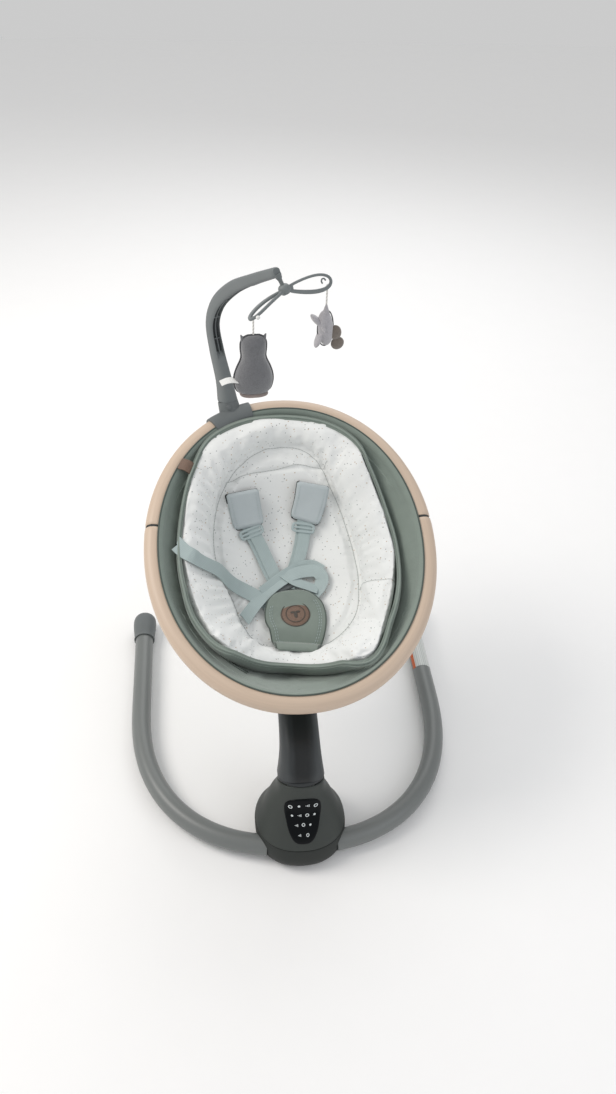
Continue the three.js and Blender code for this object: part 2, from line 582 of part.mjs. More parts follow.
function buildToyBar() {
  const sleeve = tube(new RimCurve(103, 121.5), 22.5, 5, 12);
  const rimBore = tube(new RimCurve(100, 125), RIM_RADIUS + 3 * GAP, 6, 12);
  const seatOf = inPart(sleeve, seatFrame);
  const foot = CLAMP.clone().addScaledVector(STEM_AXIS, -2);
  const rise = CLAMP.clone().addScaledVector(STEM_AXIS, 30);
  const bore = bar(CLAMP.clone().addScaledVector(STEM_AXIS, 10), CLAMP.clone().addScaledVector(STEM_AXIS, 40), 9 + GAP);
  const buttonWay = bar(buttonEnd(6), buttonEnd(30), 5 + GAP, 12);
  addPiece('toy_bar_clamp', skinOf([inPart(rimBore, seatFrame), inPart(filledTub(-1.5, 30), seatFrame), bore, buttonWay]
    .reduce((body, tool) => body.subtract(solid(tool)), join(seatOf, bar(foot, rise, 19.5, 18)))), darkPlastic);
  addPiece('toy_bar_release', bar(buttonEnd(12.6), buttonEnd(22.6), 5, 12), darkPlastic);
  const peg = bar(CLAMP.clone().addScaledVector(STEM_AXIS, 19), CLAMP.clone().addScaledVector(STEM_AXIS, 44), 9);
  const spindle = bar(alongMobile(9), alongMobile(26), 3.5, 10);
  const clearance = bar(CLAMP, CLAMP.clone().addScaledVector(STEM_AXIS, 30 + GAP), 40);
  addPiece('toy_bar_arm', skinOf(solid(toyArm()).subtract(solid(clearance)).add(join(peg, spindle))), darkPlastic);
}

// The release button slides into the clamp's boss, square to the stem, from the foot side.
function buttonEnd(distance) {
  const out = new THREE.Vector3(1, 0, 0).cross(STEM_AXIS).normalize();
  return CLAMP.clone().addScaledVector(STEM_AXIS, 20).addScaledVector(out, distance);
}

// A leaf-shaped loop lying along +X from the hub, with an open middle.
function vane() {
  const leaf = (inset) => {
    const [length, half] = [VANE_LENGTH - 2 * inset, VANE_HALF_WIDTH - inset];
    const side = (sign) => Array.from({ length: 9 }, (_, i) => new THREE.Vector2(inset + 8 + (i / 9) * (length - 8) * 1.0,
      sign * half * Math.sin(Math.PI * (0.12 + 0.88 * (i / 9)) ** 1.15)));
    const [lower, upper] = [side(-1), side(1).reverse()];
    return [...lower, new THREE.Vector2(inset + length, 0), ...upper];
  };
  const shape = new THREE.Shape(leaf(0));
  shape.holes.push(new THREE.Path(leaf(5)));
  return new THREE.ExtrudeGeometry(shape, { depth: 5, bevelEnabled: false }).translate(0, 0, -2.5);
}

function alongMobile(distance) {
  return MOBILE.clone().addScaledVector(MOBILE_AXIS, distance);
}

function vaneFrame(direction, faceOn) {
  const along = direction.clone();
  const front = new THREE.Vector3(-0.08, -0.9, 0.43);
  const normal = faceOn ? front.addScaledVector(along, -front.dot(along)) : along.clone().cross(front);
  normal.normalize();
  return new THREE.Matrix4().makeBasis(along, normal.clone().cross(along), normal).setPosition(MOBILE);
}

function buildMobile() {
  const hub = [[0, -8], [6, -8], [7.4, -4], [7.4, 5], [5, 8.5], [0, 8.5]];
  const lean = new THREE.Quaternion().setFromUnitVectors(new THREE.Vector3(0, 0, 1), MOBILE_AXIS);
  addPiece('mobile_hub', turned(hub, 16).applyQuaternion(lean).translate(...MOBILE.toArray()), darkPlastic);
  const pocket = bar(alongMobile(-12), alongMobile(12), 7.9, 16);
  const left = vane().applyMatrix4(vaneFrame(VANE_LEFT, false));
  const right = vane().applyMatrix4(vaneFrame(VANE_RIGHT, true));
  addPiece('mobile_vane_left', cut(solid(left), pocket), darkPlastic);
  addPiece('mobile_vane_right', cut(solid(right), pocket), darkPlastic);
}

// Plush toys: stacks of oval rings, [height above the foot, half width, half depth].
function plush(centre, turn, rows) {
  const rings = rows.map(([height, half, depth]) => Array.from({ length: 14 }, (_, i) => {
    const angle = (i / 14) * 2 * Math.PI;
    return new THREE.Vector3(half * Math.cos(angle), depth * Math.sin(angle), height);
  }));
  return loft(rings).rotateZ(turn).translate(...centre);
}

function buildToys() {
  const owlRows = [[0, 15, 10], [7, 25, 17], [23, 31, 21], [42, 30, 21], [61, 24, 18], [74, 24, 16], [91, 26, 13],
    [104, 22, 8], [109.2, 16, 3]];
  addPiece('owl_toy', plush([OWL_HOOK.x, OWL_HOOK.y, 724], 0.1, owlRows), greyFelt);
  addPiece('owl_cord', bar(OWL_HOOK.clone().setZ(833.7), OWL_HOOK, 1.5, 8), cordWhite);
  const birdRows = [[0, 5, 6], [8, 11, 18], [24, 15, 28], [46, 16, 32], [66, 15, 29], [84, 11, 19], [96, 5, 6]];
  addPiece('bird_toy', plush([BIRD_HOOK.x, BIRD_HOOK.y, 739.3], 0.2, birdRows), greyFelt);
  addPiece('bird_cord', bar(BIRD_HOOK.clone().setZ(835.8), BIRD_HOOK, 1.5, 8), cordWhite);
}

buildBase();
buildHousing();
buildDrive();
buildArm();
buildCarrier();
buildSeatBase();
buildRim();
buildTub();
buildHarness();
buildToyBar();
buildMobile();
buildToys();

export default part;
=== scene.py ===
"""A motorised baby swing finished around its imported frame: base, housing, arm, seat, harness, mobile."""

import json
import math

import bpy
import numpy as np
from bpy.props import FloatProperty, FloatVectorProperty, PointerProperty
from mathutils import Matrix, Vector
from mathutils.bvhtree import BVHTree


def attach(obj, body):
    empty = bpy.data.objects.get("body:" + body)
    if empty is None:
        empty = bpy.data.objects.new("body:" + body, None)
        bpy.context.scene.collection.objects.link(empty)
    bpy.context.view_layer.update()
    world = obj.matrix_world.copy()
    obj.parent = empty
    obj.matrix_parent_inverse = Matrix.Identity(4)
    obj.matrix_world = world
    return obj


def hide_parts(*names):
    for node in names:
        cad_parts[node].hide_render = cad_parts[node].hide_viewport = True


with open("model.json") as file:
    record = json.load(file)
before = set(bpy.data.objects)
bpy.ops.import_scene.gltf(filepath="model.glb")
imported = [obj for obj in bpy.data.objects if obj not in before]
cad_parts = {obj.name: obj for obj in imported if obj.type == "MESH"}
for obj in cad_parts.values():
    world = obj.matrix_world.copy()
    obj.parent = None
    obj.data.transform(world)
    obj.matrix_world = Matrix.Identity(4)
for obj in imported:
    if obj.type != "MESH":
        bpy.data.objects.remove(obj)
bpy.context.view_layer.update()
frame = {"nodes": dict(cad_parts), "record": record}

bl_info = {
    "name": "Baby Swing",
    "version": (1, 0, 0),
    "blender": (4, 5, 0),
    "location": "3D View > Sidebar > Swing",
    "description": "Builds the visible pieces and finishes of a motorised baby swing around its frame",
    "category": "Object",
}

# ---------------------------------------------------------------- sizes, in millimetres

TUBE_HEIGHT = 25
BASE_HALF_WIDTH = 300
BASE_FRONT_Y = -19
BASE_SIDE_Y = 319  # where the curved front turns into the straight sides
BASE_EXPONENT = 2.37
TUBE_END_Y = 553
CAP_START_Y = 515

# Housing rings from the floor up: front [y, z], back [y, z], half width.
HOUSING_RINGS = [
    (-46, 3, 97, 3, 74), (-55, 12, 104, 12, 80), (-58, 28, 107, 28, 82.5), (-50.5, 50, 106, 50, 82),
    (-34, 82, 98, 72, 69), (-15, 110, 96, 92, 57), (-3, 137, 88, 112, 45.5), (4.6, 163.1, 80.6, 127.6, 42),
]
HOUSING_SPLIT = 3.0  # ring at which the tray meets the shell
HOUSING_EXPONENT = 2.25
HOUSING_WALL = 2.0
PIVOT = np.array([0, 43, 146.0])
PIVOT_AXIS = np.array([0, math.sin(math.radians(25)), math.cos(math.radians(25))])

# Arm rings from the collar to the rear end: top [y, z], underside [y, z], half width.
ARM_RINGS = [
    (8.9, 172.3, 84.9, 136.4, 42), (15, 192, 95, 155, 39), (31, 212, 109, 171, 36.5),
    (60, 228, 129, 184, 35.5),
    (104, 238, 155, 194, 35), (165, 240, 194, 200, 34), (232, 237.5, 244, 202, 33.5),
    (300, 235.5, 300, 204, 33),
    (352, 235, 352, 206, 31), (376, 231, 376, 211, 26),
]
ARM_EXPONENT = 2.7

UP = np.array([0, 0, 1.0])
SEAT_CENTRE = np.array([0, 324, 451.0])
SEAT_TILT = math.radians(22)
RIM_A = 246
RIM_B = 298
RIM_EXPONENT = 2.07
RIM_SEAM = 7.6  # degrees of arc from the side to the seam between the two halves
TUB_A = 227
TUB_B = 279
TUB_DEPTH = 168
TUB_EDGE = 8
TUB_POWER = 2.6
TUB_SHIFT = -30

CLAMP = np.array([-96.5, 591, 559])
TOY_PLANE = np.array([0.5, -0.866, 0])
TOY_ACROSS = np.array([0.866, 0.5, 0])
TOY_PATH = [(-11.5, 28.4), (-23, 66), (-46, 119), (-58, 168), (-40, 214), (12, 266), (78, 309), (149, 350)]
TOY_HALF_WIDTHS = [19.5, 17, 15, 14, 13.5, 12.5, 10, 8.5]
TOY_HALF_DEPTHS = [17, 13.5, 12, 11, 10.5, 10, 9, 8]
STEM_AXIS = np.array([-0.19, 0.329, 0.925]) / math.hypot(0.19, 0.329, 0.925)
MOBILE = np.array([-9.7, 456, 882])
MOBILE_AXIS = np.array([-0.4316, 0.2105, 0.8772])
VANE_LEFT = np.array([-0.615, -0.772, -0.158])
VANE_RIGHT = np.array([0.863, 0.502, -0.062])
VANE_LENGTH = 96
OWL_HOOK = np.array([-63.4, 399.6, 859.2])
OWL_FOOT = 724
OWL_TOP = 828.5  # the cord ends inside the head
BIRD_HOOK = np.array([65.5, 496.2, 866.3])
BIRD_FOOT = 739.3
BIRD_TOP = 835.8

WAVE = math.tau / 20  # a wave texture of this scale repeats once in a metre


# ---------------------------------------------------------------- settings

def linear(hex_colour):
    """An sRGB hex colour as linear red, green, blue and alpha."""
    parts = np.array([int(hex_colour[i:i + 2], 16) for i in (1, 3, 5)]) / 255
    bright = np.where(parts > 0.04045, ((parts + 0.055) / 1.055) ** 2.4, parts / 12.92)
    return (*(float(c) for c in bright), 1.0)


def colour_property(name, description, hex_colour):
    return FloatVectorProperty(name=name, description=description, size=4, subtype="COLOR", min=0, max=1,
                               default=linear(hex_colour))


def size_property(name, description, metres):
    return FloatProperty(name=name, description=description, default=metres, min=0, unit="LENGTH",
                         subtype="DISTANCE")


class SwingSizes(bpy.types.PropertyGroup):
    """Sizes that change the look and not the frame."""
    tube_radius: size_property("Base tube radius", "Outer radius of the steel floor tube", 0.019)
    rim_radius: size_property("Seat ring radius", "Outer radius of the moulded seat ring", 0.0175)
    webbing_thickness: size_property("Webbing thickness", "Thickness of the woven harness tape", 0.0018)
    pad_swell: size_property("Pad swell", "How far the insert pad may puff out of its cut shape", 0.009)
    fabric_thickness: size_property("Cover thickness", "Thickness of the padded seat cover", 0.005)
    cord_radius: size_property("Toy cord radius", "Radius of the cords that hold the toys", 0.0015)


class SwingColours(bpy.types.PropertyGroup):
    """Colours of the finishes."""
    steel: colour_property("Base tube", "Powder coat on the floor tube", "#707473")
    housing: colour_property("Housing", "Moulded drive housing", "#434845")
    arm: colour_property("Arm", "Moulded swing arm", "#3d4143")
    trim: colour_property("Trim", "Moulded caps, clamp and toy bar", "#686d6e")
    ring: colour_property("Seat ring", "Wood-toned moulded ring", "#ccb7a3")
    cover: colour_property("Seat cover", "Woven sage fabric", "#86928a")
    insert: colour_property("Insert", "Speckled cotton jersey", "#e8eae9")
    tape: colour_property("Harness", "Woven harness tape", "#a9b8b8")
    leather: colour_property("Badge", "Tan leather patches", "#7c6455")
    plush: colour_property("Toys", "Knitted plush of the hanging toys", "#67686b")


def sizes():
    return bpy.context.scene.swing_sizes


def colours():
    return bpy.context.scene.swing_colours


# ---------------------------------------------------------------- curves and surfaces

def spline(knots, values, at):
    """A cubic through the values; each knot's slope is the weighted mean of the chords on its two sides."""
    knots = np.asarray(knots, float)
    values = np.asarray(values, float).reshape(len(knots), -1)
    step = np.diff(knots)[:, None]
    chord = np.diff(values, axis=0) / step
    slope = np.empty_like(values)
    slope[0], slope[-1] = chord[0], chord[-1]
    slope[1:-1] = (chord[:-1] * step[1:] + chord[1:] * step[:-1]) / (step[:-1] + step[1:])
    i = np.clip(np.searchsorted(knots, at, side="right") - 1, 0, len(knots) - 2)
    x = (np.asarray(at) - knots[i])[:, None] / step[i]
    start = (1 + 2 * x) * (1 - x) ** 2 * values[i] + x * (1 - x) ** 2 * step[i] * slope[i]
    return start + x * x * (3 - 2 * x) * values[i + 1] + x * x * (x - 1) * step[i] * slope[i + 1]


def even_line(points, count):
    """The same line with points at even steps of its length."""
    points = np.asarray(points, float)
    run = np.concatenate([[0], np.cumsum(np.linalg.norm(np.diff(points, axis=0), axis=1))])
    at = np.linspace(0, run[-1], count)
    return np.stack([np.interp(at, run, points[:, k]) for k in range(points.shape[1])], 1)


def smooth_line(points, count):
    """A smooth line through given points, at even steps; knots lie as far apart as the points do."""
    points = np.asarray(points, float)
    knots = np.concatenate([[0], np.cumsum(np.sqrt(np.linalg.norm(np.diff(points, axis=0), axis=1)))])
    return even_line(spline(knots, points, np.linspace(0, knots[-1], count * 6)), count)


def rounded(value, exponent):
    """A sine or cosine bent so that a circle becomes a rounded rectangle."""
    return np.sign(value) * np.abs(value) ** (2 / exponent)


def unit(vectors):
    return vectors / np.maximum(np.linalg.norm(vectors, axis=-1, keepdims=True), 1e-9)


def smoothstep(low, high, x):
    t = np.clip((x - low) / (high - low), 0, 1)
    return t * t * (3 - 2 * t)


def bell(x, width):
    """A soft bump of height 1 and about that half width."""
    return np.exp(-(x / width) ** 2)


def frames_along(points, up, closed=False):
    """Unit vectors along a line, to its side (along cross up) and square to both."""
    if closed:
        along = unit(np.roll(points, -1, 0) - np.roll(points, 1, 0))
    else:
        along = unit(np.gradient(points, axis=0))
    side = unit(np.cross(along, up))
    return along, side, np.cross(side, along)


def sweep(points, up, profile, closed=False):
    """Carries a profile, [to the side, upwards], along a line; the profile may differ from point to point."""
    _, side, top = frames_along(points, up, closed)
    profile = np.broadcast_to(profile, (len(points), *np.shape(profile)[-2:]))
    return points[:, None] + profile[..., :1] * side[:, None] + profile[..., 1:] * top[:, None]


def ring_profile(half_width, half_height, sides, exponent=2.0):
    """A rounded section of that many sides."""
    angle = np.arange(sides) / sides * math.tau
    return np.stack([half_width * rounded(np.cos(angle), exponent),
                     half_height * rounded(np.sin(angle), exponent)], -1)


def lathe(profile, origin, axis, sides=56):
    """Turns a profile of [radius, height] round an axis."""
    axis = unit(np.asarray(axis, float))
    first = unit(np.cross(axis, [0.31, 0.95, 0.05]))
    second = np.cross(axis, first)
    angle = np.arange(sides) / sides * math.tau
    spokes = np.cos(angle)[:, None] * first + np.sin(angle)[:, None] * second
    profile = np.asarray(profile, float)
    return np.asarray(origin) + profile[:, None, :1] * spokes[None] + profile[:, None, 1:] * axis


def on_seat(points):
    """Turns [across, along, out] on the tilted seat into [x, y, z]."""
    u, v, w = np.moveaxis(np.asarray(points, float), -1, 0)
    sin, cos = math.sin(SEAT_TILT), math.cos(SEAT_TILT)
    return np.stack([u + SEAT_CENTRE[0], SEAT_CENTRE[1] + v * cos - w * sin,
                     SEAT_CENTRE[2] + v * sin + w * cos], -1)


def off_seat(points):
    """The way back from [x, y, z] to [across, along, out] on the seat."""
    x, y, z = np.moveaxis(np.asarray(points, float) - SEAT_CENTRE, -1, 0)
    sin, cos = math.sin(SEAT_TILT), math.cos(SEAT_TILT)
    return np.stack([x, y * cos + z * sin, z * cos - y * sin], -1)


# ---------------------------------------------------------------- meshes

def faces_of(grid, wrap_rows, wrap_cols, poles):
    """Points, faces and texture places, in metres, of a grid of points; poles close its end rows."""
    rows, cols = grid.shape[:2]
    points = grid.reshape(-1, 3)
    index = np.arange(rows * cols).reshape(rows, cols)
    down = np.linalg.norm(np.diff(grid, axis=0, append=grid[:1]), axis=2).mean(1)
    across = np.linalg.norm(np.diff(grid, axis=1, append=grid[:, :1]), axis=2).mean(0)
    v = np.concatenate([[0], np.cumsum(down)]) / 1000
    u = np.concatenate([[0], np.cumsum(across)]) / 1000
    if wrap_rows:
        index = np.vstack([index, index[:1]])
    if wrap_cols:
        index = np.hstack([index, index[:, :1]])
    place = np.stack(np.meshgrid(u[:index.shape[1]], v[:index.shape[0]]), -1)
    corners = [(slice(None, -1), slice(None, -1)), (slice(None, -1), slice(1, None)),
               (slice(1, None), slice(1, None)), (slice(1, None), slice(None, -1))]
    faces = np.stack([index[c] for c in corners], -1).reshape(-1, 4)
    places = np.stack([place[c] for c in corners], 2).reshape(-1, 4, 2)
    caps, cap_places = np.empty((0, 3), int), np.empty((0, 3, 2))
    if poles:
        middles = np.stack([grid[0].mean(0), grid[-1].mean(0)])
        first, last = len(points), len(points) + 1
        points = np.vstack([points, middles])
        head = np.stack([np.full(index.shape[1] - 1, first), index[0, 1:], index[0, :-1]], -1)
        tail = np.stack([np.full(index.shape[1] - 1, last), index[-1, :-1], index[-1, 1:]], -1)
        caps = np.vstack([head, tail])
        head_place = np.stack([place[0, 1:], place[0, 1:], place[0, :-1]], 1)
        tail_place = np.stack([place[-1, :-1], place[-1, :-1], place[-1, 1:]], 1)
        cap_places = np.vstack([head_place, tail_place])
    a, b, c, d = (points[faces[:, k]] for k in range(4))
    volume = np.sum(a * np.cross(b, c)) + np.sum(a * np.cross(c, d))
    if poles:
        volume += np.sum(points[caps[:, 0]] * np.cross(points[caps[:, 1]], points[caps[:, 2]]))
    if volume < 0:
        faces, places, caps, cap_places = faces[:, ::-1], places[:, ::-1], caps[:, ::-1], cap_places[:, ::-1]
    return points, faces, places, caps, cap_places


def build(name, *parts, sharp=50):
    """One piece from grids in millimetres; a part is a grid, or a grid with its wraps and poles."""
    points, faces, places, start = [], [], [], 0
    for part in parts:
        grid, options = (part, {}) if isinstance(part, np.ndarray) else part
        settings = {"wrap_rows": False, "wrap_cols": True, "poles": True, **options}
        if settings["wrap_rows"]:
            settings["poles"] = False
        spots, quads, quad_places, caps, cap_places = faces_of(grid, **settings)
        points.append(spots / 1000)
        faces += (quads + start).tolist() + (caps + start).tolist()
        places += [quad_places.reshape(-1, 2), cap_places.reshape(-1, 2)]
        start += len(spots)
    mesh = bpy.data.meshes.new(name)
    mesh.from_pydata(np.vstack(points).tolist(), [], faces)
    layer = mesh.uv_layers.new(name="cloth")
    layer.data.foreach_set("uv", np.vstack(places).astype(np.float32).ravel())
    mesh.polygons.foreach_set("use_smooth", np.ones(len(mesh.polygons), bool))
    mesh.set_sharp_from_angle(angle=math.radians(sharp))
    mesh.validate()
    piece = bpy.data.objects.new(name, mesh)
    bpy.context.scene.collection.objects.link(piece)
    return piece


def place(piece, body, material, slot, *nodes):
    """Gives a piece its finish, its body and the CAD nodes that it stands for."""
    piece.data.materials.clear()
    piece.data.materials.append(material)
    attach(piece, body)
    if nodes:
        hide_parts(*nodes)
    return piece


def points_of(mesh):
    flat = np.empty(len(mesh.vertices) * 3)
    mesh.vertices.foreach_get("co", flat)
    return flat.reshape(-1, 3)


def set_points(mesh, points):
    mesh.vertices.foreach_set("co", np.asarray(points, float).ravel())
    mesh.update()


def normals_of(mesh):
    flat = np.empty(len(mesh.vertices) * 3)
    mesh.vertex_normals.foreach_get("vector", flat)
    return flat.reshape(-1, 3)


def refined(node, body, material, slot, edge=0.6):
    """A copy of a CAD node, in its place, with its edges rounded by that many millimetres."""
    piece = bpy.data.objects.new(node + "_finished", frame["nodes"][node].data.copy())
    bpy.context.scene.collection.objects.link(piece)
    bpy.ops.object.select_all(action="DESELECT")
    bpy.context.view_layer.objects.active = piece
    piece.select_set(True)
    merge = piece.modifiers.new("merge", "WELD")
    merge.merge_threshold = 0.00002
    bevel = piece.modifiers.new("edges", "BEVEL")
    bevel.width, bevel.segments, bevel.limit_method = edge / 1000, 2, "ANGLE"
    bevel.angle_limit = math.radians(35)
    bevel.use_clamp_overlap = True
    for modifier in list(piece.modifiers):
        bpy.ops.object.modifier_apply(modifier=modifier.name)
    piece.data.polygons.foreach_set("use_smooth", np.ones(len(piece.data.polygons), bool))
    piece.data.set_sharp_from_angle(angle=math.radians(40))
    return place(piece, body, material, slot, node)


# ---------------------------------------------------------------- finishes

def node(tree, kind, inputs=None, **settings):
    """Adds a shader node; inputs gives a socket, by name or number, a value or another node's output."""
    made = tree.nodes.new("ShaderNode" + kind)
    for key, value in settings.items():
        setattr(made, key, value)
    for key, value in (inputs or {}).items():
        if isinstance(value, bpy.types.NodeSocket):
            tree.links.new(value, made.inputs[key])
        else:
            made.inputs[key].default_value = value
    return made


def blank(name, roughness, **sockets):
    """A new material with its shader; sockets are the shader's even values, with _ for a space."""
    material = bpy.data.materials.new(name)
    material.use_nodes = True
    shader = material.node_tree.nodes["Principled BSDF"]
    shader.inputs["Roughness"].default_value = roughness
    for key, value in sockets.items():
        shader.inputs[key.replace("_", " ")].default_value = value
    return material, material.node_tree, shader


def shade(colour, factor):
    """The same colour, lighter or darker."""
    return (*(min(1.0, c * factor) for c in tuple(colour)[:3]), 1.0)


def relief(tree, shader, height, depth_mm, strength=1.0):
    """Feeds a height into the shader's normal, that many millimetres deep."""
    bump = node(tree, "Bump", {"Height": height, "Distance": depth_mm / 1000, "Strength": strength})
    tree.links.new(bump.outputs["Normal"], shader.inputs["Normal"])


def mixed_tones(tree, factor, first, second):
    """A Mix node between two colours; its colour is outputs[2]."""
    return node(tree, "Mix", {0: factor, 6: first, 7: second}, data_type="RGBA")


def moulded(name, colour, roughness, grain_mm=1.6, depth_mm=0.1, drift=0.10, painted_shade_mm=0.0):
    """Plastic moulded in a spark-textured tool: an even tone that drifts a little, and a fine satin grain.
    The real grain is about 0.3 mm; it is drawn at 1.6 mm so that it shows. A painted shade width darkens the
    tone near the object's middle in X, out to about that far: painted shade for the seat ring's shadow along
    the arm."""
    material, tree, shader = blank(name, roughness, IOR=1.5, Specular_IOR_Level=0.35)
    where = node(tree, "TexCoord").outputs["Object"]
    broad = node(tree, "TexNoise", {"Vector": where, "Scale": 14.0, "Detail": 3.0, "Roughness": 0.55})
    tone = mixed_tones(tree, broad.outputs[0], shade(colour, 1 - drift), shade(colour, 1 + drift))
    # Painted shade: towards the middle in X the tone is darkened, standing for the shadow the seat ring casts
    # on the arm.
    if painted_shade_mm:
        across = node(tree, "SeparateXYZ", {0: where}).outputs["X"]
        away = node(tree, "Math", {0: across}, operation="ABSOLUTE")
        painted_shade_fade = node(tree, "MapRange", {0: away.outputs[0], 1: painted_shade_mm * 0.0005, 2: painted_shade_mm * 0.0013})
        tone = mixed_tones(tree, painted_shade_fade.outputs[0], shade(colour, 0.3), tone.outputs[2])
    tree.links.new(tone.outputs[2], shader.inputs["Base Color"])
    grain = node(tree, "TexNoise", {"Vector": where, "Scale": 1000 / grain_mm, "Detail": 2.0})
    satin = node(tree, "MapRange", {0: grain.outputs[0], 3: roughness - 0.06, 4: roughness + 0.08})
    tree.links.new(satin.outputs[0], shader.inputs["Roughness"])
    relief(tree, shader, grain.outputs[0], depth_mm, 0.5)
    return material


def powder_coat(name, colour):
    """Baked powder paint on steel tube: satin, with the soft orange peel that powder flows out to."""
    material, tree, shader = blank(name, 0.42, Coat_Weight=0.25, Coat_Roughness=0.3)
    where = node(tree, "TexCoord").outputs["Object"]
    peel = node(tree, "TexNoise", {"Vector": where, "Scale": 320.0, "Detail": 1.0})
    broad = node(tree, "TexNoise", {"Vector": where, "Scale": 6.0, "Detail": 2.0})
    tone = mixed_tones(tree, broad.outputs[0], shade(colour, 0.9), shade(colour, 1.1))
    tree.links.new(tone.outputs[2], shader.inputs["Base Color"])
    relief(tree, shader, peel.outputs[0], 0.12, 0.6)
    return material


def acrylic(name, colour):
    """Black acrylic window, polished: sharp reflections over a deep tone, with a faint haze of handling."""
    material, tree, shader = blank(name, 0.07, IOR=1.49, Specular_IOR_Level=0.12)
    where = node(tree, "TexCoord").outputs["Object"]
    haze = node(tree, "TexNoise", {"Vector": where, "Scale": 40.0, "Detail": 4.0})
    dull = node(tree, "MapRange", {0: haze.outputs[0], 3: 0.04, 4: 0.14})
    tree.links.new(dull.outputs[0], shader.inputs["Roughness"])
    tone = mixed_tones(tree, haze.outputs[0], colour, shade(colour, 1.5))
    tree.links.new(tone.outputs[2], shader.inputs["Base Color"])
    return material


def wood_tone(name, colour):
    """Satin moulded ring in a wood tone: pale streaks run with the ring, barely darker between."""
    material, tree, shader = blank(name, 0.48, IOR=1.5, Coat_Weight=0.15, Coat_Roughness=0.4)
    along = node(tree, "TexCoord").outputs["UV"]
    drawn = node(tree, "Mapping", {"Vector": along, "Scale": (260.0, 9.0, 1.0)})
    streak = node(tree, "TexNoise",
                  {"Vector": drawn.outputs[0], "Scale": 1.0, "Detail": 4.0, "Distortion": 0.4})
    tone = mixed_tones(tree, streak.outputs[0], shade(colour, 0.90), shade(colour, 1.07))
    tree.links.new(tone.outputs[2], shader.inputs["Base Color"])
    relief(tree, shader, streak.outputs[0], 0.06, 0.4)
    return material


def woven(name, colour, thread_mm=1.7, depth_mm=0.16, contrast=0.16, sheen=0.25):
    """Plain-woven polyester: two sets of threads over and under each other, with slubs that drift in tone.
    Real threads are 0.5 mm apart; they are drawn 1.7 mm apart so that the weave shows."""
    material, tree, shader = blank(name, 0.88, Sheen_Weight=sheen, Sheen_Roughness=0.5)
    where = node(tree, "TexCoord")
    warp = node(tree, "TexWave",
                {"Vector": where.outputs["UV"], "Scale": WAVE / thread_mm * 1000, "Distortion": 0.6,
                                  "Detail": 1.0}, bands_direction="X")
    weft = node(tree, "TexWave",
                {"Vector": where.outputs["UV"], "Scale": WAVE / thread_mm * 1000, "Distortion": 0.6,
                                  "Detail": 1.0}, bands_direction="Y")
    cross = node(tree, "Math", {0: warp.outputs["Fac"], 1: weft.outputs["Fac"]}, operation="MULTIPLY")
    slub = node(tree, "TexNoise", {"Vector": where.outputs["Object"], "Scale": 55.0, "Detail": 4.0})
    mixed = node(tree, "Math", {0: cross.outputs[0], 1: slub.outputs[0]}, operation="ADD")
    half = node(tree, "Math", {0: mixed.outputs[0], 1: 0.5}, operation="MULTIPLY")
    tone = mixed_tones(tree, half.outputs[0], shade(colour, 1 - contrast), shade(colour, 1 + contrast))
    tree.links.new(tone.outputs[2], shader.inputs["Base Color"])
    relief(tree, shader, cross.outputs[0], depth_mm)
    return material


def speckled_jersey(name, colour):
    """Brushed cotton jersey, soft and white, printed with flecks of 1 to 3 mm about 20 mm apart."""
    material, tree, shader = blank(name, 0.95, Sheen_Weight=0.35, Sheen_Roughness=0.6)
    where = node(tree, "TexCoord").outputs["Object"]
    base = colour
    for fleck, cell_mm, size, offset in (("#8f9493", 9.0, 0.16, 0.0), ("#b8a188", 10.5, 0.15, 4.7),
                                         ("#6d7474", 14.0, 0.10, 9.1)):
        moved = node(tree, "Mapping", {"Vector": where, "Location": (offset, offset, offset)})
        cells = node(tree, "TexVoronoi", {"Vector": moved.outputs[0], "Scale": 1000 / cell_mm})
        spot = node(tree, "MapRange",
                    {0: cells.outputs["Distance"], 1: size, 2: size * 0.55, 3: 0.0, 4: 0.85})
        mixed = mixed_tones(tree, spot.outputs[0], base, linear(fleck))
        base = mixed.outputs[2]
    tree.links.new(base, shader.inputs["Base Color"])
    knit = node(tree, "TexNoise", {"Vector": where, "Scale": 520.0, "Detail": 2.0})
    soft = node(tree, "TexNoise", {"Vector": where, "Scale": 70.0, "Detail": 3.0})
    height = node(tree, "Math", {0: knit.outputs[0], 1: soft.outputs[0]}, operation="ADD")
    relief(tree, shader, height.outputs[0], 0.5, 0.6)
    return material


def tape(name, colour, rib_mm=2.2):
    """Woven polyester tape: ribs run across it, its tone drifts along it, and it has a slight sheen."""
    material, tree, shader = blank(name, 0.7, Sheen_Weight=0.3, Sheen_Roughness=0.4)
    where = node(tree, "TexCoord")
    ribs = node(tree, "TexWave",
                {"Vector": where.outputs["UV"], "Scale": WAVE / rib_mm * 1000, "Distortion": 0.3},
                bands_direction="Y")
    yarns = node(tree, "TexWave",
                 {"Vector": where.outputs["UV"], "Scale": WAVE / 3.0 * 1000, "Distortion": 0.2},
                 bands_direction="X")
    height = node(tree, "Math", {0: ribs.outputs["Fac"], 1: yarns.outputs["Fac"]}, operation="MULTIPLY")
    worn = node(tree, "TexNoise", {"Vector": where.outputs["Object"], "Scale": 45.0, "Detail": 3.0})
    mixed = node(tree, "Math", {0: height.outputs[0], 1: worn.outputs[0]}, operation="ADD")
    half = node(tree, "Math", {0: mixed.outputs[0], 1: 0.5}, operation="MULTIPLY")
    tone = mixed_tones(tree, half.outputs[0], shade(colour, 0.84), shade(colour, 1.12))
    tree.links.new(tone.outputs[2], shader.inputs["Base Color"])
    relief(tree, shader, height.outputs[0], 0.2)
    return material


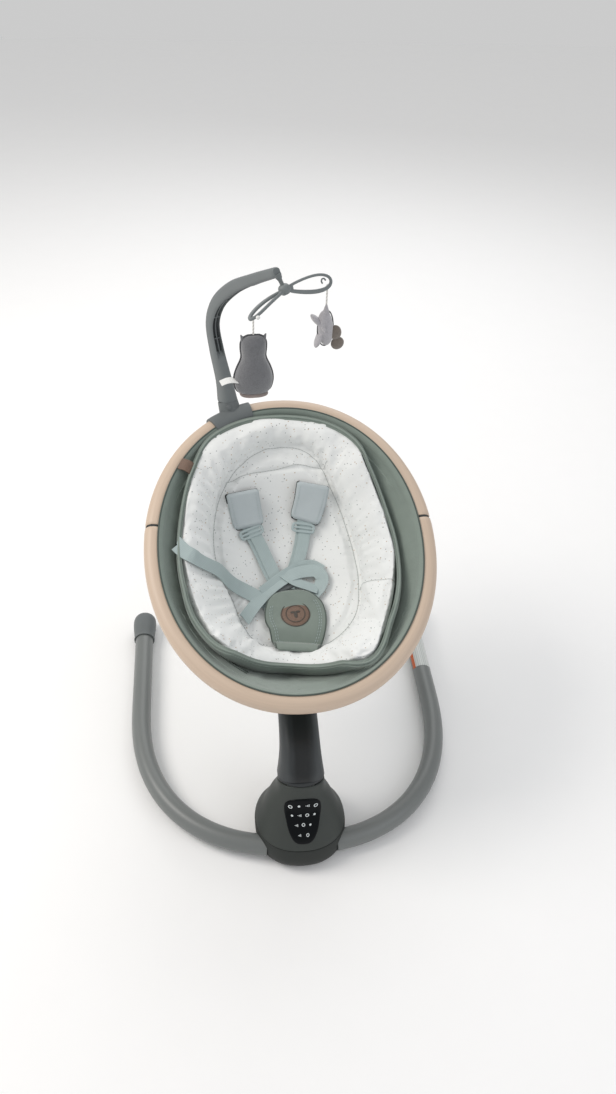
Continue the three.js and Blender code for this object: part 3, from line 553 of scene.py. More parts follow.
def leather(name, colour):
    """Coated leather: a pebbled grain of about 1.5 mm whose creases are darker and duller."""
    material, tree, shader = blank(name, 0.52, IOR=1.5)
    where = node(tree, "TexCoord").outputs["Object"]
    pebble = node(tree, "TexVoronoi", {"Vector": where, "Scale": 620.0}, feature="DISTANCE_TO_EDGE")
    worn = node(tree, "TexNoise", {"Vector": where, "Scale": 90.0, "Detail": 4.0})
    crease = node(tree, "MapRange", {0: pebble.outputs["Distance"], 1: 0.0, 2: 0.2})
    blend = node(tree, "Math", {0: crease.outputs[0], 1: worn.outputs[0]}, operation="MULTIPLY")
    tone = mixed_tones(tree, blend.outputs[0], shade(colour, 0.72), shade(colour, 1.25))
    tree.links.new(tone.outputs[2], shader.inputs["Base Color"])
    relief(tree, shader, crease.outputs[0], 0.15)
    return material


def plush(name, colour, loop_mm=2.2):
    """Knitted plush: small loops with a painted highlight at their tips and painted shade between them, and a
    strong soft sheen.
    """
    material, tree, shader = blank(name, 0.97, Sheen_Weight=0.6, Sheen_Roughness=0.55)
    where = node(tree, "TexCoord").outputs["Object"]
    loops = node(tree, "TexVoronoi", {"Vector": where, "Scale": 1000 / loop_mm}, feature="SMOOTH_F1")
    drift = node(tree, "TexNoise", {"Vector": where, "Scale": 120.0, "Detail": 5.0})
    mixed = node(tree, "Math", {0: loops.outputs["Distance"], 1: drift.outputs[0]}, operation="MULTIPLY")
    # Painted highlight and shade: the loops are lightened at their tips and darkened between.
    tone = mixed_tones(tree, mixed.outputs[0], shade(colour, 1.2), shade(colour, 0.55))
    tree.links.new(tone.outputs[2], shader.inputs["Base Color"])
    relief(tree, shader, loops.outputs["Distance"], 0.5, 0.7)
    return material


def twisted_cord(name, colour):
    """Twisted cotton cord: strands wind round it, 3 mm a turn."""
    material, tree, shader = blank(name, 0.85, Sheen_Weight=0.2)
    along = node(tree, "TexCoord").outputs["UV"]
    strands = node(tree, "TexWave", {"Vector": along, "Scale": WAVE / 3.0 * 1000}, bands_direction="DIAGONAL")
    tone = mixed_tones(tree, strands.outputs["Fac"], shade(colour, 0.75), colour)
    tree.links.new(tone.outputs[2], shader.inputs["Base Color"])
    relief(tree, shader, strands.outputs["Fac"], 0.3)
    return material


def brushed_metal(name, colour, roughness=0.35):
    """Rolled and brushed metal: fine scratches run along X and spread the highlight."""
    material, tree, shader = blank(name, roughness, Metallic=1.0)
    where = node(tree, "TexCoord").outputs["Object"]
    drawn = node(tree, "Mapping", {"Vector": where, "Scale": (30.0, 900.0, 900.0)})
    scratch = node(tree, "TexNoise", {"Vector": drawn.outputs[0], "Scale": 1.0, "Detail": 3.0})
    tone = mixed_tones(tree, scratch.outputs[0], shade(colour, 0.85), shade(colour, 1.1))
    dull = node(tree, "MapRange", {0: scratch.outputs[0], 3: roughness - 0.1, 4: roughness + 0.12})
    tree.links.new(tone.outputs[2], shader.inputs["Base Color"])
    tree.links.new(dull.outputs[0], shader.inputs["Roughness"])
    return material


def ruled_label(name, paper):
    """Plastic-coated white label with faint grey ruled lines, 4 mm apart."""
    material, tree, shader = blank(name, 0.35)
    where = node(tree, "TexCoord").outputs["Object"]
    rules = node(tree, "TexWave", {"Vector": where, "Scale": WAVE / 4.2 * 1000}, bands_direction="X")
    line = node(tree, "MapRange", {0: rules.outputs["Fac"], 1: 0.80, 2: 0.95})
    tone = mixed_tones(tree, line.outputs[0], paper, linear("#aeb2b0"))
    tree.links.new(tone.outputs[2], shader.inputs["Base Color"])
    return material


FINISHES = {}


def finish(name):
    """A finish by name, made once from the chosen colours."""
    tints = colours()
    makers = {
        "powder_coated_steel": lambda n: powder_coat(n, tints.steel),
        "moulded_housing_abs": lambda n: moulded(n, shade(tints.housing, 0.75), 0.5),
        # Painted shade: the housing plastic darkened again for the lower tray, which lies in shade under the
        # shell.
        "housing_abs_painted_shade": lambda n: moulded(n, shade(tints.housing, 0.45), 0.55),
        # The arm's finish has painted shade darkening its middle.
        "moulded_arm_abs": lambda n: moulded(n, tints.arm, 0.45, drift=0.06, painted_shade_mm=20.0),
        "moulded_collar_abs": lambda n: moulded(n, shade(tints.arm, 0.65), 0.42),
        "moulded_trim_nylon": lambda n: moulded(n, tints.trim, 0.52),
        # Dark nylon of the joints and lever, also laid as painted shade along the toy bar's channel.
        "dark_nylon_and_channel_shade": lambda n: moulded(n, shade(tints.trim, 0.28), 0.6),
        "moulded_toy_bar_nylon": lambda n: moulded(n, shade(tints.trim, 1.15), 0.5),
        "moulded_vane_nylon": lambda n: moulded(n, shade(tints.trim, 1.35), 0.45),
        "polished_acrylic": lambda n: acrylic(n, linear("#080b0d")),
        "printed_white_ink": lambda n: moulded(n, linear("#d6dcdc"), 0.4, drift=0.03),
        "satin_wood_tone": lambda n: wood_tone(n, tints.ring),
        "sage_weave": lambda n: woven(n, tints.cover),
        "sage_padding_weave": lambda n: woven(n, shade(tints.cover, 0.88), contrast=0.14),
        "dark_binding": lambda n: woven(n, linear("#4d5852"), thread_mm=1.3),
        "speckled_cotton": lambda n: speckled_jersey(n, tints.insert),
        "harness_tape": lambda n: tape(n, tints.tape),
        "shoulder_pad_weave": lambda n: woven(n, linear("#b3bcbf"), thread_mm=1.5, contrast=0.08),
        "tan_leather": lambda n: leather(n, tints.leather),
        "dark_leather": lambda n: leather(n, linear("#4e4740")),
        "pale_nylon_slide": lambda n: moulded(n, linear("#a5b3b4"), 0.35, drift=0.04),
        "white_nylon": lambda n: moulded(n, linear("#e4e5e3"), 0.4, drift=0.03),
        "grey_plush": lambda n: plush(n, tints.plush),
        "light_plush": lambda n: plush(n, linear("#a6a4a8")),
        "mauve_plush": lambda n: plush(n, linear("#8c807b")),
        "brown_plush": lambda n: plush(n, linear("#6f665e")),
        "dark_piping": lambda n: woven(n, linear("#4a4b4e"), thread_mm=1.2, sheen=0.1),
        "white_cotton_cord": lambda n: twisted_cord(n, linear("#e6e4df")),
        "dark_lining": lambda n: woven(n, linear("#2b2d2f"), thread_mm=1.3, sheen=0.1),
        "seam_thread": lambda n: twisted_cord(n, linear("#c6cac8")),
        "white_tag": lambda n: woven(n, linear("#e9eae8"), thread_mm=1.0, contrast=0.05),
        "ruled_label": lambda n: ruled_label(n, linear("#cdd1ce")),
        "orange_label": lambda n: moulded(n, linear("#c25a2a"), 0.35, drift=0.03),
        "turned_steel": lambda n: brushed_metal(n, linear("#b5b8ba")),
        "enamelled_copper": lambda n: brushed_metal(n, linear("#a8683c"), 0.3),
        "solder_mask": lambda n: moulded(n, linear("#2f5d43"), 0.35),
        "matte_rubber": lambda n: moulded(n, linear("#232425"), 0.85, grain_mm=2.4),
        "white_studio_floor": lambda n: moulded(n, linear("#fbfbfb"), 0.9, grain_mm=40, depth_mm=0.05,
                                                drift=0.01),
    }
    if name not in FINISHES:
        FINISHES[name] = makers[name](name)
    return FINISHES[name]


# ---------------------------------------------------------------- base

def base_line(side):
    """Centre line of one base tube: a quarter of a rounded rectangle, then straight back to the rear foot."""
    angle = np.radians(np.linspace(9, 90, 240))
    power = 2 / BASE_EXPONENT
    x = BASE_HALF_WIDTH * np.sin(angle) ** power
    y = BASE_SIDE_Y - (BASE_SIDE_Y - BASE_FRONT_Y) * np.cos(angle) ** power
    x, y = np.append(x, BASE_HALF_WIDTH), np.append(y, TUBE_END_Y)
    return even_line(np.stack([side * x, y, np.full_like(x, TUBE_HEIGHT)], 1), 150)


def build_base():
    radius = sizes().tube_radius * 1000
    # [radius, way along]: from inside the bore, out over the lip, along the flare and round the back.
    inside = [(radius + 0.4, 38), (radius + 0.4, 0.8), (20.3, 0), (21.7, 0), (22.3, 0.7), (22.4, 2.5)]
    shape = [(22.0, 4.5), (21.9, 10), (22.6, 18), (24.2, 32), (25, 46), (24.6, 56), (22.6, 64), (17.5, 70),
             (9, 73.3),
             (2, 74)]
    flare = spline(np.arange(len(shape)), shape, np.linspace(0, len(shape) - 1, 60))
    for name, side in (("left", -1), ("right", 1)):
        line = base_line(side)
        tube = build(f"floor_tube_{name}", sweep(line, UP, ring_profile(radius, radius, 48)))
        place(tube, "base", finish("powder_coated_steel"), "grey_steel", f"base_tube_{name}")
        origin = [side * BASE_HALF_WIDTH, CAP_START_Y, TUBE_HEIGHT]
        cap = build(f"rear_foot_{name}", lathe(inside + flare.tolist(), origin, [0, 1, 0]))
        place(cap, "base", finish("moulded_trim_nylon"), "dark_plastic", f"end_cap_{name}")
    bands = [("care_label", -46, 88, "ruled_label"), ("care_label_stripe", -72, -46, "orange_label")]
    for name, low, high, colour in bands:
        angle = np.radians(np.linspace(low, high, 24))
        reach = np.linspace(384, 506, 18)
        skin = [[[BASE_HALF_WIDTH + r * math.sin(a), y,
                  TUBE_HEIGHT + r * math.cos(a)] for a in angle] for r, y in
                [(radius + 0.45, y) for y in reach] + [(radius + 0.05, y) for y in reach[::-1]]]
        label = build(name, (np.array(skin), {"wrap_rows": True, "wrap_cols": False}))
        place(label, "base", finish(colour), "grey_steel")


# ---------------------------------------------------------------- drive housing

def ring_values(rings, at):
    """Ring sizes at any place between the rings."""
    return spline(np.arange(len(rings)), rings, np.asarray(at, float))


def housing_surface(level, angle, inset=0.0):
    """Housing wall at ring levels and angles round it: each ring is a tilted rounded rectangle."""
    front_y, front_z, back_y, back_z, half = ring_values(HOUSING_RINGS, level).T[..., None]
    inset = np.broadcast_to(np.asarray(inset, float).reshape(-1, 1), front_y.shape)
    taper = 1 - 0.09 * np.clip(np.sin(angle), 0, 1) * smoothstep(3.0, 4.0, np.asarray(level, float))[:, None]
    x = (half - inset) * rounded(np.cos(angle), HOUSING_EXPONENT) * taper
    s = rounded(np.sin(angle), HOUSING_EXPONENT)
    y = (front_y + back_y) / 2 + ((back_y - front_y) / 2 - inset) * s
    z = (front_z + back_z) / 2 + (back_z - front_z) / 2 * s
    return np.stack(np.broadcast_arrays(x, y, z), -1)


def housing_front(x, level):
    """A point on the housing's front at that distance from the middle and ring level."""
    front_y, front_z, back_y, back_z, half = ring_values(HOUSING_RINGS, level).T
    cos = np.clip(np.abs(x) / half, 0, 1) ** (HOUSING_EXPONENT / 2)
    s = -((1 - cos ** 2) ** 0.5) ** (2 / HOUSING_EXPONENT)
    y = (front_y + back_y) / 2 + (back_y - front_y) / 2 * s
    z = (front_z + back_z) / 2 + (back_z - front_z) / 2 * s
    return np.stack([x, y, z], -1)


def shell_with_wall(levels, insets, wall, close_low):
    """Outer wall up, over the edge and down inside; the foot is closed across when close_low is set."""
    angle = np.arange(96) / 96 * math.tau
    outer = housing_surface(levels, angle, insets)
    inner = housing_surface(levels[::-1], angle, np.asarray(insets)[::-1] + wall)
    grid = np.concatenate([outer, inner])
    if not close_low:
        return grid, {"wrap_rows": True}
    inner[-1, :, 2] += wall
    return grid, {"poles": True}


def panel_point(across, rise, lift):
    """A place on the control panel: across and rise run from -1 to 1 over it, lift is in millimetres."""
    half = np.interp(rise, [-1, -0.6, 0.2, 0.75, 1], [23, 26, 32, 36, 35.5])
    x = across * half
    level = np.interp(rise, [-1, 1], [3.45, 5.98]) + 0.14 * (1 - across ** 2) * smoothstep(0.2, 1, rise)
    shape = x.shape
    x, level = x.ravel(), level.ravel()
    here = housing_front(x, level)
    right = housing_front(x + 0.5, level) - housing_front(x - 0.5, level)
    up = housing_front(x, level + 0.02) - housing_front(x, level - 0.02)
    normal = unit(np.cross(right, up))
    return (here + normal * np.broadcast_to(lift, shape).reshape(-1, 1)).reshape(*shape, 3)


def panel_patch(outline, steps, lifts):
    """A raised patch on the panel: rings of its [across, rise] outline, shrinking inwards, at those lifts."""
    outline = np.asarray(outline, float)
    middle = outline.mean(0)
    rings = np.array([middle + (outline - middle) * step for step in steps])
    lift = np.broadcast_to(np.asarray(lifts, float)[:, None], rings.shape[:2])
    return panel_point(rings[..., 0], rings[..., 1], lift)


def build_housing():
    low = np.concatenate([np.linspace(0, HOUSING_SPLIT - 0.08, 40),
                          HOUSING_SPLIT - np.array([0.05, 0.03, 0.02])])
    low_inset = np.concatenate([np.zeros(40), [0.1, 0.5, 1.3]])
    tray = build("housing_tray", shell_with_wall(low, low_inset, HOUSING_WALL, True))
    # The tray takes the housing plastic darkened as painted shade.
    place(tray, "base", finish("housing_abs_painted_shade"), "housing_plastic", "housing_lower")

    high = np.concatenate([HOUSING_SPLIT + np.array([0.02, 0.03, 0.05]),
                           np.linspace(HOUSING_SPLIT + 0.08, 6.94, 70),
                           [6.97, 6.99]])
    high_inset = np.concatenate([[1.3, 0.5, 0.1], np.zeros(70), [0.3, 1.0]])
    shell = build("housing_shell", shell_with_wall(high, high_inset, HOUSING_WALL, False))
    place(shell, "base", finish("moulded_housing_abs"), "housing_plastic", "housing_upper")

    angle = np.arange(96) / 96 * math.tau
    outline = np.stack([rounded(np.cos(angle), 3.2), rounded(np.sin(angle), 3.2)], -1)
    window = build("control_window",
                   panel_patch(outline, [1.0, 0.995, 0.985, 0.96, 0.9, 0.75, 0.5, 0.25, 0.05],
                                                 [-0.8, 0.5, 1.1, 1.45, 1.6, 1.6, 1.6, 1.6, 1.6]), sharp=60)
    place(window, "base", finish("polished_acrylic"), "panel_gloss", "control_panel")
    icons = []
    spots = [(-0.62, 0.62), (-0.2, 0.66), (0.22, 0.66), (0.64, 0.62), (-0.6, 0.22), (-0.2, 0.24),
             (0.22, 0.24),
             (0.62, 0.22), (-0.42, -0.2), (0.0, -0.18), (0.42, -0.2), (-0.28, -0.62), (0.28, -0.62)]
    turn = np.arange(20) / 20 * math.tau
    for number, (across, rise) in enumerate(spots):
        centre = np.array([across, rise])
        radius = np.array([0.105, 0.075])
        ring = np.stack([np.cos(turn), np.sin(turn)], -1)
        if number % 3 == 0:  # a ring
            rows = [1.0, 1.0, 0.62, 0.62]
            lifts = [1.5, 1.95, 1.95, 1.5]
            rings = np.array([centre + radius * ring * r for r in rows])
            lift = np.broadcast_to(np.array(lifts)[:, None], rings.shape[:2])
            icons.append((panel_point(rings[..., 0], rings[..., 1], lift), {"wrap_rows": True}))
        elif number % 3 == 1:  # a dot
            icons.append(panel_patch(centre + radius * 0.62 * ring, [1, 0.98, 0.5], [1.4, 1.95, 1.95]))
        else:  # three bars that grow
            for bar_at in (-1, 0, 1):
                half = radius * [0.2, 0.45 + 0.28 * bar_at]
                square = np.stack([rounded(np.cos(turn), 8), rounded(np.sin(turn), 8)], -1)
                box = centre + [bar_at * 0.075, 0] + half * square
                icons.append(panel_patch(box, [1, 0.98, 0.5], [1.4, 1.95, 1.95]))
    place(build("control_icons", *icons), "base", finish("printed_white_ink"), "panel_gloss")

    profile = [(9, 0.7), (37.5, 0.7), (38.2, 0.5), (40.4, 0.6), (41.4, 1.6), (41.6, 3.0), (41.6, 6.4),
               (41.1, 7.8),
               (39.8, 8.6), (37.0, 8.8), (9, 8.8)]
    grid = lathe(profile, PIVOT, PIVOT_AXIS, 80)
    place(build("collar_ring", (grid, {"wrap_rows": True}), sharp=40), "swing_arm",
          finish("moulded_collar_abs"),
          "dark_plastic", "collar")


# ---------------------------------------------------------------- arm

def arm_surface(level, angle, out=0.0):
    """Arm wall at ring levels and angles; its top is hollowed along the middle where the arm rises."""
    top_y, top_z, low_y, low_z, half = ring_values(ARM_RINGS, level).T[..., None]
    c = rounded(np.cos(angle), ARM_EXPONENT)
    s = rounded(np.sin(angle), ARM_EXPONENT)
    depth = np.hypot(top_y - low_y, top_z - low_z) / 2
    hollow = 5.5 * smoothstep(0.2, 1.6, level) * (1 - smoothstep(5.2, 6.6, level))
    cut = hollow[:, None] * np.where(s > 0, smoothstep(0.66, 0.30, np.abs(c)) * smoothstep(0.2, 0.7, s), 0)
    reach = (depth * s + out * np.sin(angle) - cut) / depth
    x = (half + out * np.abs(np.cos(angle))) * c
    y = (top_y + low_y) / 2 + (top_y - low_y) / 2 * reach
    z = (top_z + low_z) / 2 + (top_z - low_z) / 2 * reach
    return np.stack(np.broadcast_arrays(x, y, z), -1)


def build_arm():
    level = np.concatenate([[0, 0.005], np.linspace(0.02, 8.94, 130), [8.975, 9.0]])
    angle = np.arange(96) / 96 * math.tau
    grid = arm_surface(level, angle)
    for row, share in ((0, 0.96), (1, 0.985), (-2, 0.985), (-1, 0.94)):
        grid[row] = grid[row].mean(0) + (grid[row] - grid[row].mean(0)) * share
    shell = build("arm_casing", grid)
    place(shell, "swing_arm", finish("moulded_arm_abs"), "housing_plastic", "arm_shell")

    level = np.linspace(2.1, 7.9, 90)
    edge = 0.52
    angle = np.linspace(math.pi + edge, math.tau - edge, 40)
    under = np.concatenate([arm_surface(level, angle, 0.9), arm_surface(level, angle[::-1], -2.5)], axis=1)
    for row, share in ((0, 0.93), (-1, 0.93)):
        under[row] = under[row].mean(0) + (under[row] - under[row].mean(0)) * share
    place(build("arm_underside", under, sharp=35), "swing_arm", finish("moulded_trim_nylon"), "dark_plastic",
          "arm_cover")


# ---------------------------------------------------------------- seat ring and cover

def rim_point(angle):
    """Centre line of the ring at an angle round the seat, in the seat's plane."""
    x, y = RIM_A * rounded(np.cos(angle), RIM_EXPONENT), RIM_B * rounded(np.sin(angle), RIM_EXPONENT)
    return np.stack([x, y, np.zeros_like(x)], -1)


def rim_outward(angle):
    """Unit vector away from the seat's middle, square to the ring's centre line."""
    step = rim_point(angle + 0.01) - rim_point(angle - 0.01)
    return unit(np.stack([step[..., 1], -step[..., 0], np.zeros_like(angle)], -1))


def tub_point(share, angle, inset):
    """The fabric tub: an oval that shrinks with share and sinks ever faster from its edge to its middle."""
    share, angle, inset = np.broadcast_arrays(share, angle, inset)
    u = (TUB_A - inset) * share * np.cos(angle)
    v = TUB_SHIFT * (1 - share ** 2) + (TUB_B - inset) * share * np.sin(angle)
    w = TUB_EDGE - (TUB_DEPTH - inset) * (1 - share ** TUB_POWER)
    return np.stack([u, v, w], -1)


def tub_height(u, v, inset):
    """Height of the tub's surface over a place in the seat's plane, found by repeated substitution."""
    share = np.full(np.broadcast(u, v, inset).shape, 0.5)
    for _ in range(40):
        middle = TUB_SHIFT * (1 - np.minimum(share, 1) ** 2)
        share = np.hypot(u / (TUB_A - inset), (v - middle) / (TUB_B - inset))
    return TUB_EDGE - (TUB_DEPTH - inset) * (1 - np.minimum(share, 1.02) ** TUB_POWER)


def build_ring():
    radius = sizes().rim_radius * 1000
    gap = 0.42
    for name, low, high in (("head", RIM_SEAM, 180 - RIM_SEAM), ("foot", 180 - RIM_SEAM, 360 + RIM_SEAM)):
        angle = np.radians(np.linspace(low + gap, high - gap, 400))
        line = even_line(rim_point(angle), 190)
        profile = np.broadcast_to(ring_profile(radius, radius - 0.6, 44, 2.15), (190, 44, 2)).copy()
        for row, share in ((0, 0.93), (1, 0.985), (-2, 0.985), (-1, 0.93)):
            profile[row] *= share
        line[1] = line[0] + (line[1] - line[0]) * 0.25
        line[-2] = line[-1] + (line[-2] - line[-1]) * 0.25
        half = build(f"ring_{name}_half", on_seat(sweep(line, UP, profile)), sharp=40)
        place(half, "seat", finish("satin_wood_tone"), "rim_plastic", f"rim_{name}_half")


def around(count):
    return np.arange(count) / count * math.tau


def cover_wave(angle, share):
    """Small folds in the cover's wall: radial puckers, strongest on the left."""
    left = 0.35 + 0.65 * smoothstep(-0.2, 0.9, -np.cos(angle))
    ripple = np.sin(angle * 31 + 1.3 * np.sin(angle * 7)) + 0.6 * np.sin(angle * 53 + 2 * np.cos(angle * 5))
    slack = 1.3 * np.sin(angle * 9 + 2.0 * np.sin(share * 9)) * (1 - left)
    return (0.9 * left * ripple + slack) * smoothstep(0.42, 0.7, share) * smoothstep(1.0, 0.93, share)


def build_cover():
    radius = sizes().rim_radius * 1000
    thick = sizes().fabric_thickness * 1000
    angle = around(240)[None]

    def on_rim(beta, lift):
        """Points round the inside of the ring's section, beta degrees up from level."""
        turn = np.radians(np.asarray(beta, float))[:, None, None]
        out = rim_outward(angle)
        up = UP
        return rim_point(angle) + (radius + lift) * (-np.cos(turn) * out + np.sin(turn) * up)

    seams = [math.atan2(-223, -186), math.atan2(-237, 139), math.radians(62), math.radians(118)]
    crease = sum(bell((angle - s + math.pi) % math.tau - math.pi, 0.010) for s in seams)
    under_share = np.concatenate([np.linspace(0.02, 0.9, 40), [0.93, 0.96, 0.975]])[:, None]
    panels = sum(bell((angle - k * math.tau / 6 - 0.5 + math.pi) % math.tau - math.pi,
                      0.012) for k in range(6))
    under = tub_point(under_share, angle, 1.6 * panels * smoothstep(0.06, 0.3, under_share))
    outer_rim = on_rim(np.linspace(-24, 60, 14), 0.35)
    inner_rim = on_rim(np.linspace(63, 12, 16), 2.1)
    inner_share = np.concatenate([[0.945, 0.93, 0.918], np.linspace(0.905, 0.02, 60)])[:, None]
    inset = thick + cover_wave(angle, inner_share) - 1.6 * crease * smoothstep(0.5, 0.8, inner_share)
    inner = tub_point(inner_share, angle, inset)
    inner_rim[..., 2] -= 0.9 * crease
    grid = np.concatenate([under, outer_rim, inner_rim, inner])
    cover = build("seat_cover_fabric", on_seat(grid), sharp=80)
    place(cover, "seat", finish("sage_weave"), "sage_fabric", "seat_cover")

    binding = rim_at(around(240), radius + 1.4, 63)
    edge = build("cover_edge_binding", (on_seat(sweep(binding, UP, ring_profile(1.5, 1.5, 12), closed=True)),
                                        {"wrap_rows": True}))
    place(edge, "seat", finish("dark_binding"), "sage_fabric")
    tracks = []
    arc = np.radians(np.linspace(98, 244, 150))
    for share, lift in ((0.945, 1.2), (0.912, 1.2)):
        line = tub_point(share, arc, thick + lift)
        tracks.append(on_seat(sweep(line, UP, ring_profile(1.1, 1.4, 12))))
    place(build("cover_zip_tracks", *tracks), "seat", finish("dark_binding"), "sage_fabric")


def rim_at(angle, reach, beta):
    """A line round the inside of the ring, that far from its centre line and beta degrees up from level."""
    turn = math.radians(beta)
    return rim_point(angle) + reach * (-math.cos(turn) * rim_outward(angle) + math.sin(turn) * UP)


# ---------------------------------------------------------------- insert pad

PAD_MIDDLE = np.array([-4, 18.0])
# The pad's outline on the seat, anticlockwise from the head: [across, along].
PAD_OUTLINE = [(-8, 269), (-82, 258), (-137, 225), (-174, 152), (-195, 71), (-201, -17), (-191, -80),
               (-168, -149),
               (-132, -192), (-86, -208), (-9, -209), (58, -227), (108, -230), (158, -154), (188, -64),
               (194, -6),
               (182, 83), (161, 155), (130, 218), (83, 252), (24, 267)]
# The seam between the bolster and the lying surface.
PAD_SEAM = [(-5, 229), (-36, 224), (-85, 193), (-120, 144), (-137, 85), (-137, 24), (-126, -16),
            (-106, -59), (-92, -104),
            (-74, -136), (-20, -160), (48, -158), (112, -112), (130, -43), (127, 30), (112, 100), (90, 158),
            (66, 202),
            (34, 224)]
PAD_BOTTOM = 7.5  # the pad lies this far inside the tub's outer face


def polar(outline, angle):
    """Reach of a closed outline from the pad's middle in each direction."""
    spokes = np.asarray(outline, float) - PAD_MIDDLE
    at = np.unwrap(np.arctan2(spokes[:, 1], spokes[:, 0]))
    order = np.argsort(at)
    at, reach = at[order], np.linalg.norm(spokes, axis=1)[order]
    knots = np.concatenate([at - math.tau, at, at + math.tau])
    angle = np.asarray(angle, float)
    first = at[0]
    turned = (angle - first) % math.tau + first
    return spline(knots, np.tile(reach, 3), turned.ravel()).reshape(angle.shape)


def seam_share(u, v):
    """Where a place lies between the middle, 0, the bolster seam, 1, and the outline, 2."""
    du, dv = u - PAD_MIDDLE[0], v - PAD_MIDDLE[1]
    angle, reach = np.arctan2(dv, du), np.hypot(du, dv)
    seam, edge = polar(PAD_SEAM, angle), polar(PAD_OUTLINE, angle)
    return np.where(reach < seam, reach / seam, 1 + (reach - seam) / np.maximum(edge - seam, 1)), angle


def pad_thickness(u, v):
    """The bolster is a roll between its seam and the outline; the lying surface is a shallow cushion."""
    share, angle = seam_share(u, v)
    inner = 13 + 9 * (1 - np.clip(share, 0, 1) ** 4)
    t = np.clip(share - 1, 0, 1)
    roll = 13 + 17 * np.sin(math.pi * np.clip(t, 0, 1) ** 0.8) ** 0.7 * (1 - 0.35 * t) + 4 * t
    return np.where(share < 1, inner, roll)


def pad_surface(scale, angle, inset):
    """A place on the pad: that share of the way to the outline, and inset from the tub's outer face."""
    reach = polar(PAD_OUTLINE, angle) * scale
    u, v = PAD_MIDDLE[0] + reach * np.cos(angle), PAD_MIDDLE[1] + reach * np.sin(angle)
    inset = inset(u, v) if callable(inset) else inset + np.zeros_like(u)
    return np.stack([u, v, tub_height(u, v, inset)], -1)


def swell(piece, voxel_mm, pressure, limit_mm, held):
    """Remeshes a closed piece and blows it up as cloth; held(points) marks what stays, and no point moves
    further than the limit."""
    bpy.ops.object.select_all(action="DESELECT")
    bpy.context.view_layer.objects.active = piece
    piece.select_set(True)
    piece.data.remesh_voxel_size = voxel_mm / 1000
    bpy.ops.object.voxel_remesh()
    start = points_of(piece.data)
    group = piece.vertex_groups.new(name="held")
    group.add(np.flatnonzero(held(start * 1000)).tolist(), 1.0, "REPLACE")
    cloth = piece.modifiers.new("swell", "CLOTH")
    cloth.settings.use_pressure = True
    cloth.settings.uniform_pressure_force = pressure
    cloth.settings.effector_weights.gravity = 0
    cloth.settings.vertex_group_mass = "held"
    cloth.settings.tension_stiffness = 20
    cloth.settings.compression_stiffness = 20
    cloth.settings.bending_stiffness = 0.8
    cloth.settings.quality = 5
    cloth.collision_settings.use_collision = False
    cloth.point_cache.frame_end = 20
    for number in range(1, 21):
        bpy.context.scene.frame_set(number)
    blown = points_of(piece.evaluated_get(bpy.context.evaluated_depsgraph_get()).data)
    piece.modifiers.remove(cloth)
    piece.vertex_groups.remove(group)
    bpy.context.scene.frame_set(1)
    move = blown - start
    far = np.linalg.norm(move, axis=1, keepdims=True)
    start = start + move * np.minimum(1, limit_mm / 1000 / np.maximum(far, 1e-9))
    set_points(piece.data, start)
    piece.data.polygons.foreach_set("use_smooth", np.ones(len(piece.data.polygons), bool))
    return piece


def subdivide(piece):
    """One round of smooth subdivision, applied."""
    bpy.context.view_layer.objects.active = piece
    finer = piece.modifiers.new("finer", "SUBSURF")
    finer.levels = finer.render_levels = 1
    bpy.ops.object.modifier_apply(modifier=finer.name)
    piece.data.polygons.foreach_set("use_smooth", np.ones(len(piece.data.polygons), bool))


def stitched(piece):
    """Pulls the seams into the pad: the bolster's, the head pillow's, and puckers across the bolster."""
    points = points_of(piece.data)
    u, v, w = (off_seat(points * 1000)).T
    share, angle = seam_share(u, v)
    normal = normals_of(piece.data)
    up = normal @ (on_seat([0, 0, 1]) - on_seat([0, 0, 0]))
    top = smoothstep(0.0, 0.5, up)
    scale = polar(PAD_SEAM, angle)
    pull = 6.0 * bell((share - 1) * np.where(share < 1, scale, 62), 4.5)
    pillow_low = bell(v - 191 + (u - 30) ** 2 / 700, 4.0) * (share < 1)
    pull = pull + 3.0 * pillow_low
    puckers = np.sin(angle * 46 + 2.2 * np.sin(angle * 5)) * bell(share - 1.22, 0.30)
    left = 0.35 + 0.65 * smoothstep(-0.3, 0.8, -np.cos(angle))
    pull = pull + 2.4 * left * puckers
    broad = np.sin(angle * 13 + 1.1) * bell(share - 1.5, 0.35)
    broad = broad + np.sin(u / 25 + 1) * np.sin(v / 19 + np.sin(u / 40)) * (share < 0.95)
    pull = pull + 2.1 * broad
    set_points(piece.data, points - normal * (pull * top)[:, None] / 1000)


def build_insert():
    angle = around(200)[None]
    steps = np.concatenate([np.linspace(0.03, 0.92, 44), [0.945, 0.965, 0.982, 0.994]])[:, None]
    top = pad_surface(steps, angle, lambda u, v: PAD_BOTTOM + pad_thickness(u, v))
    side = pad_surface(np.array([[1.0]]), angle, lambda u, v: PAD_BOTTOM + 14 + 0 * u)
    bottom = pad_surface(steps[::-1], angle, PAD_BOTTOM)
    pad = build("insert_cushion", on_seat(np.concatenate([top, side, bottom])))
    limit = sizes().pad_swell * 1000

    def held(points):
        u, v, w = off_seat(points).T
        share, _ = seam_share(u, v)
        low = w < tub_height(u, v, PAD_BOTTOM + 3.0)
        return low | (np.abs(share - 1) < 0.05)

    swell(pad, 5.0, 4.0, limit, held)
    subdivide(pad)
    stitched(pad)
    place(pad, "seat", finish("speckled_cotton"), "speckled_jersey", "insert_pad")
    build_gusset()
    return pad


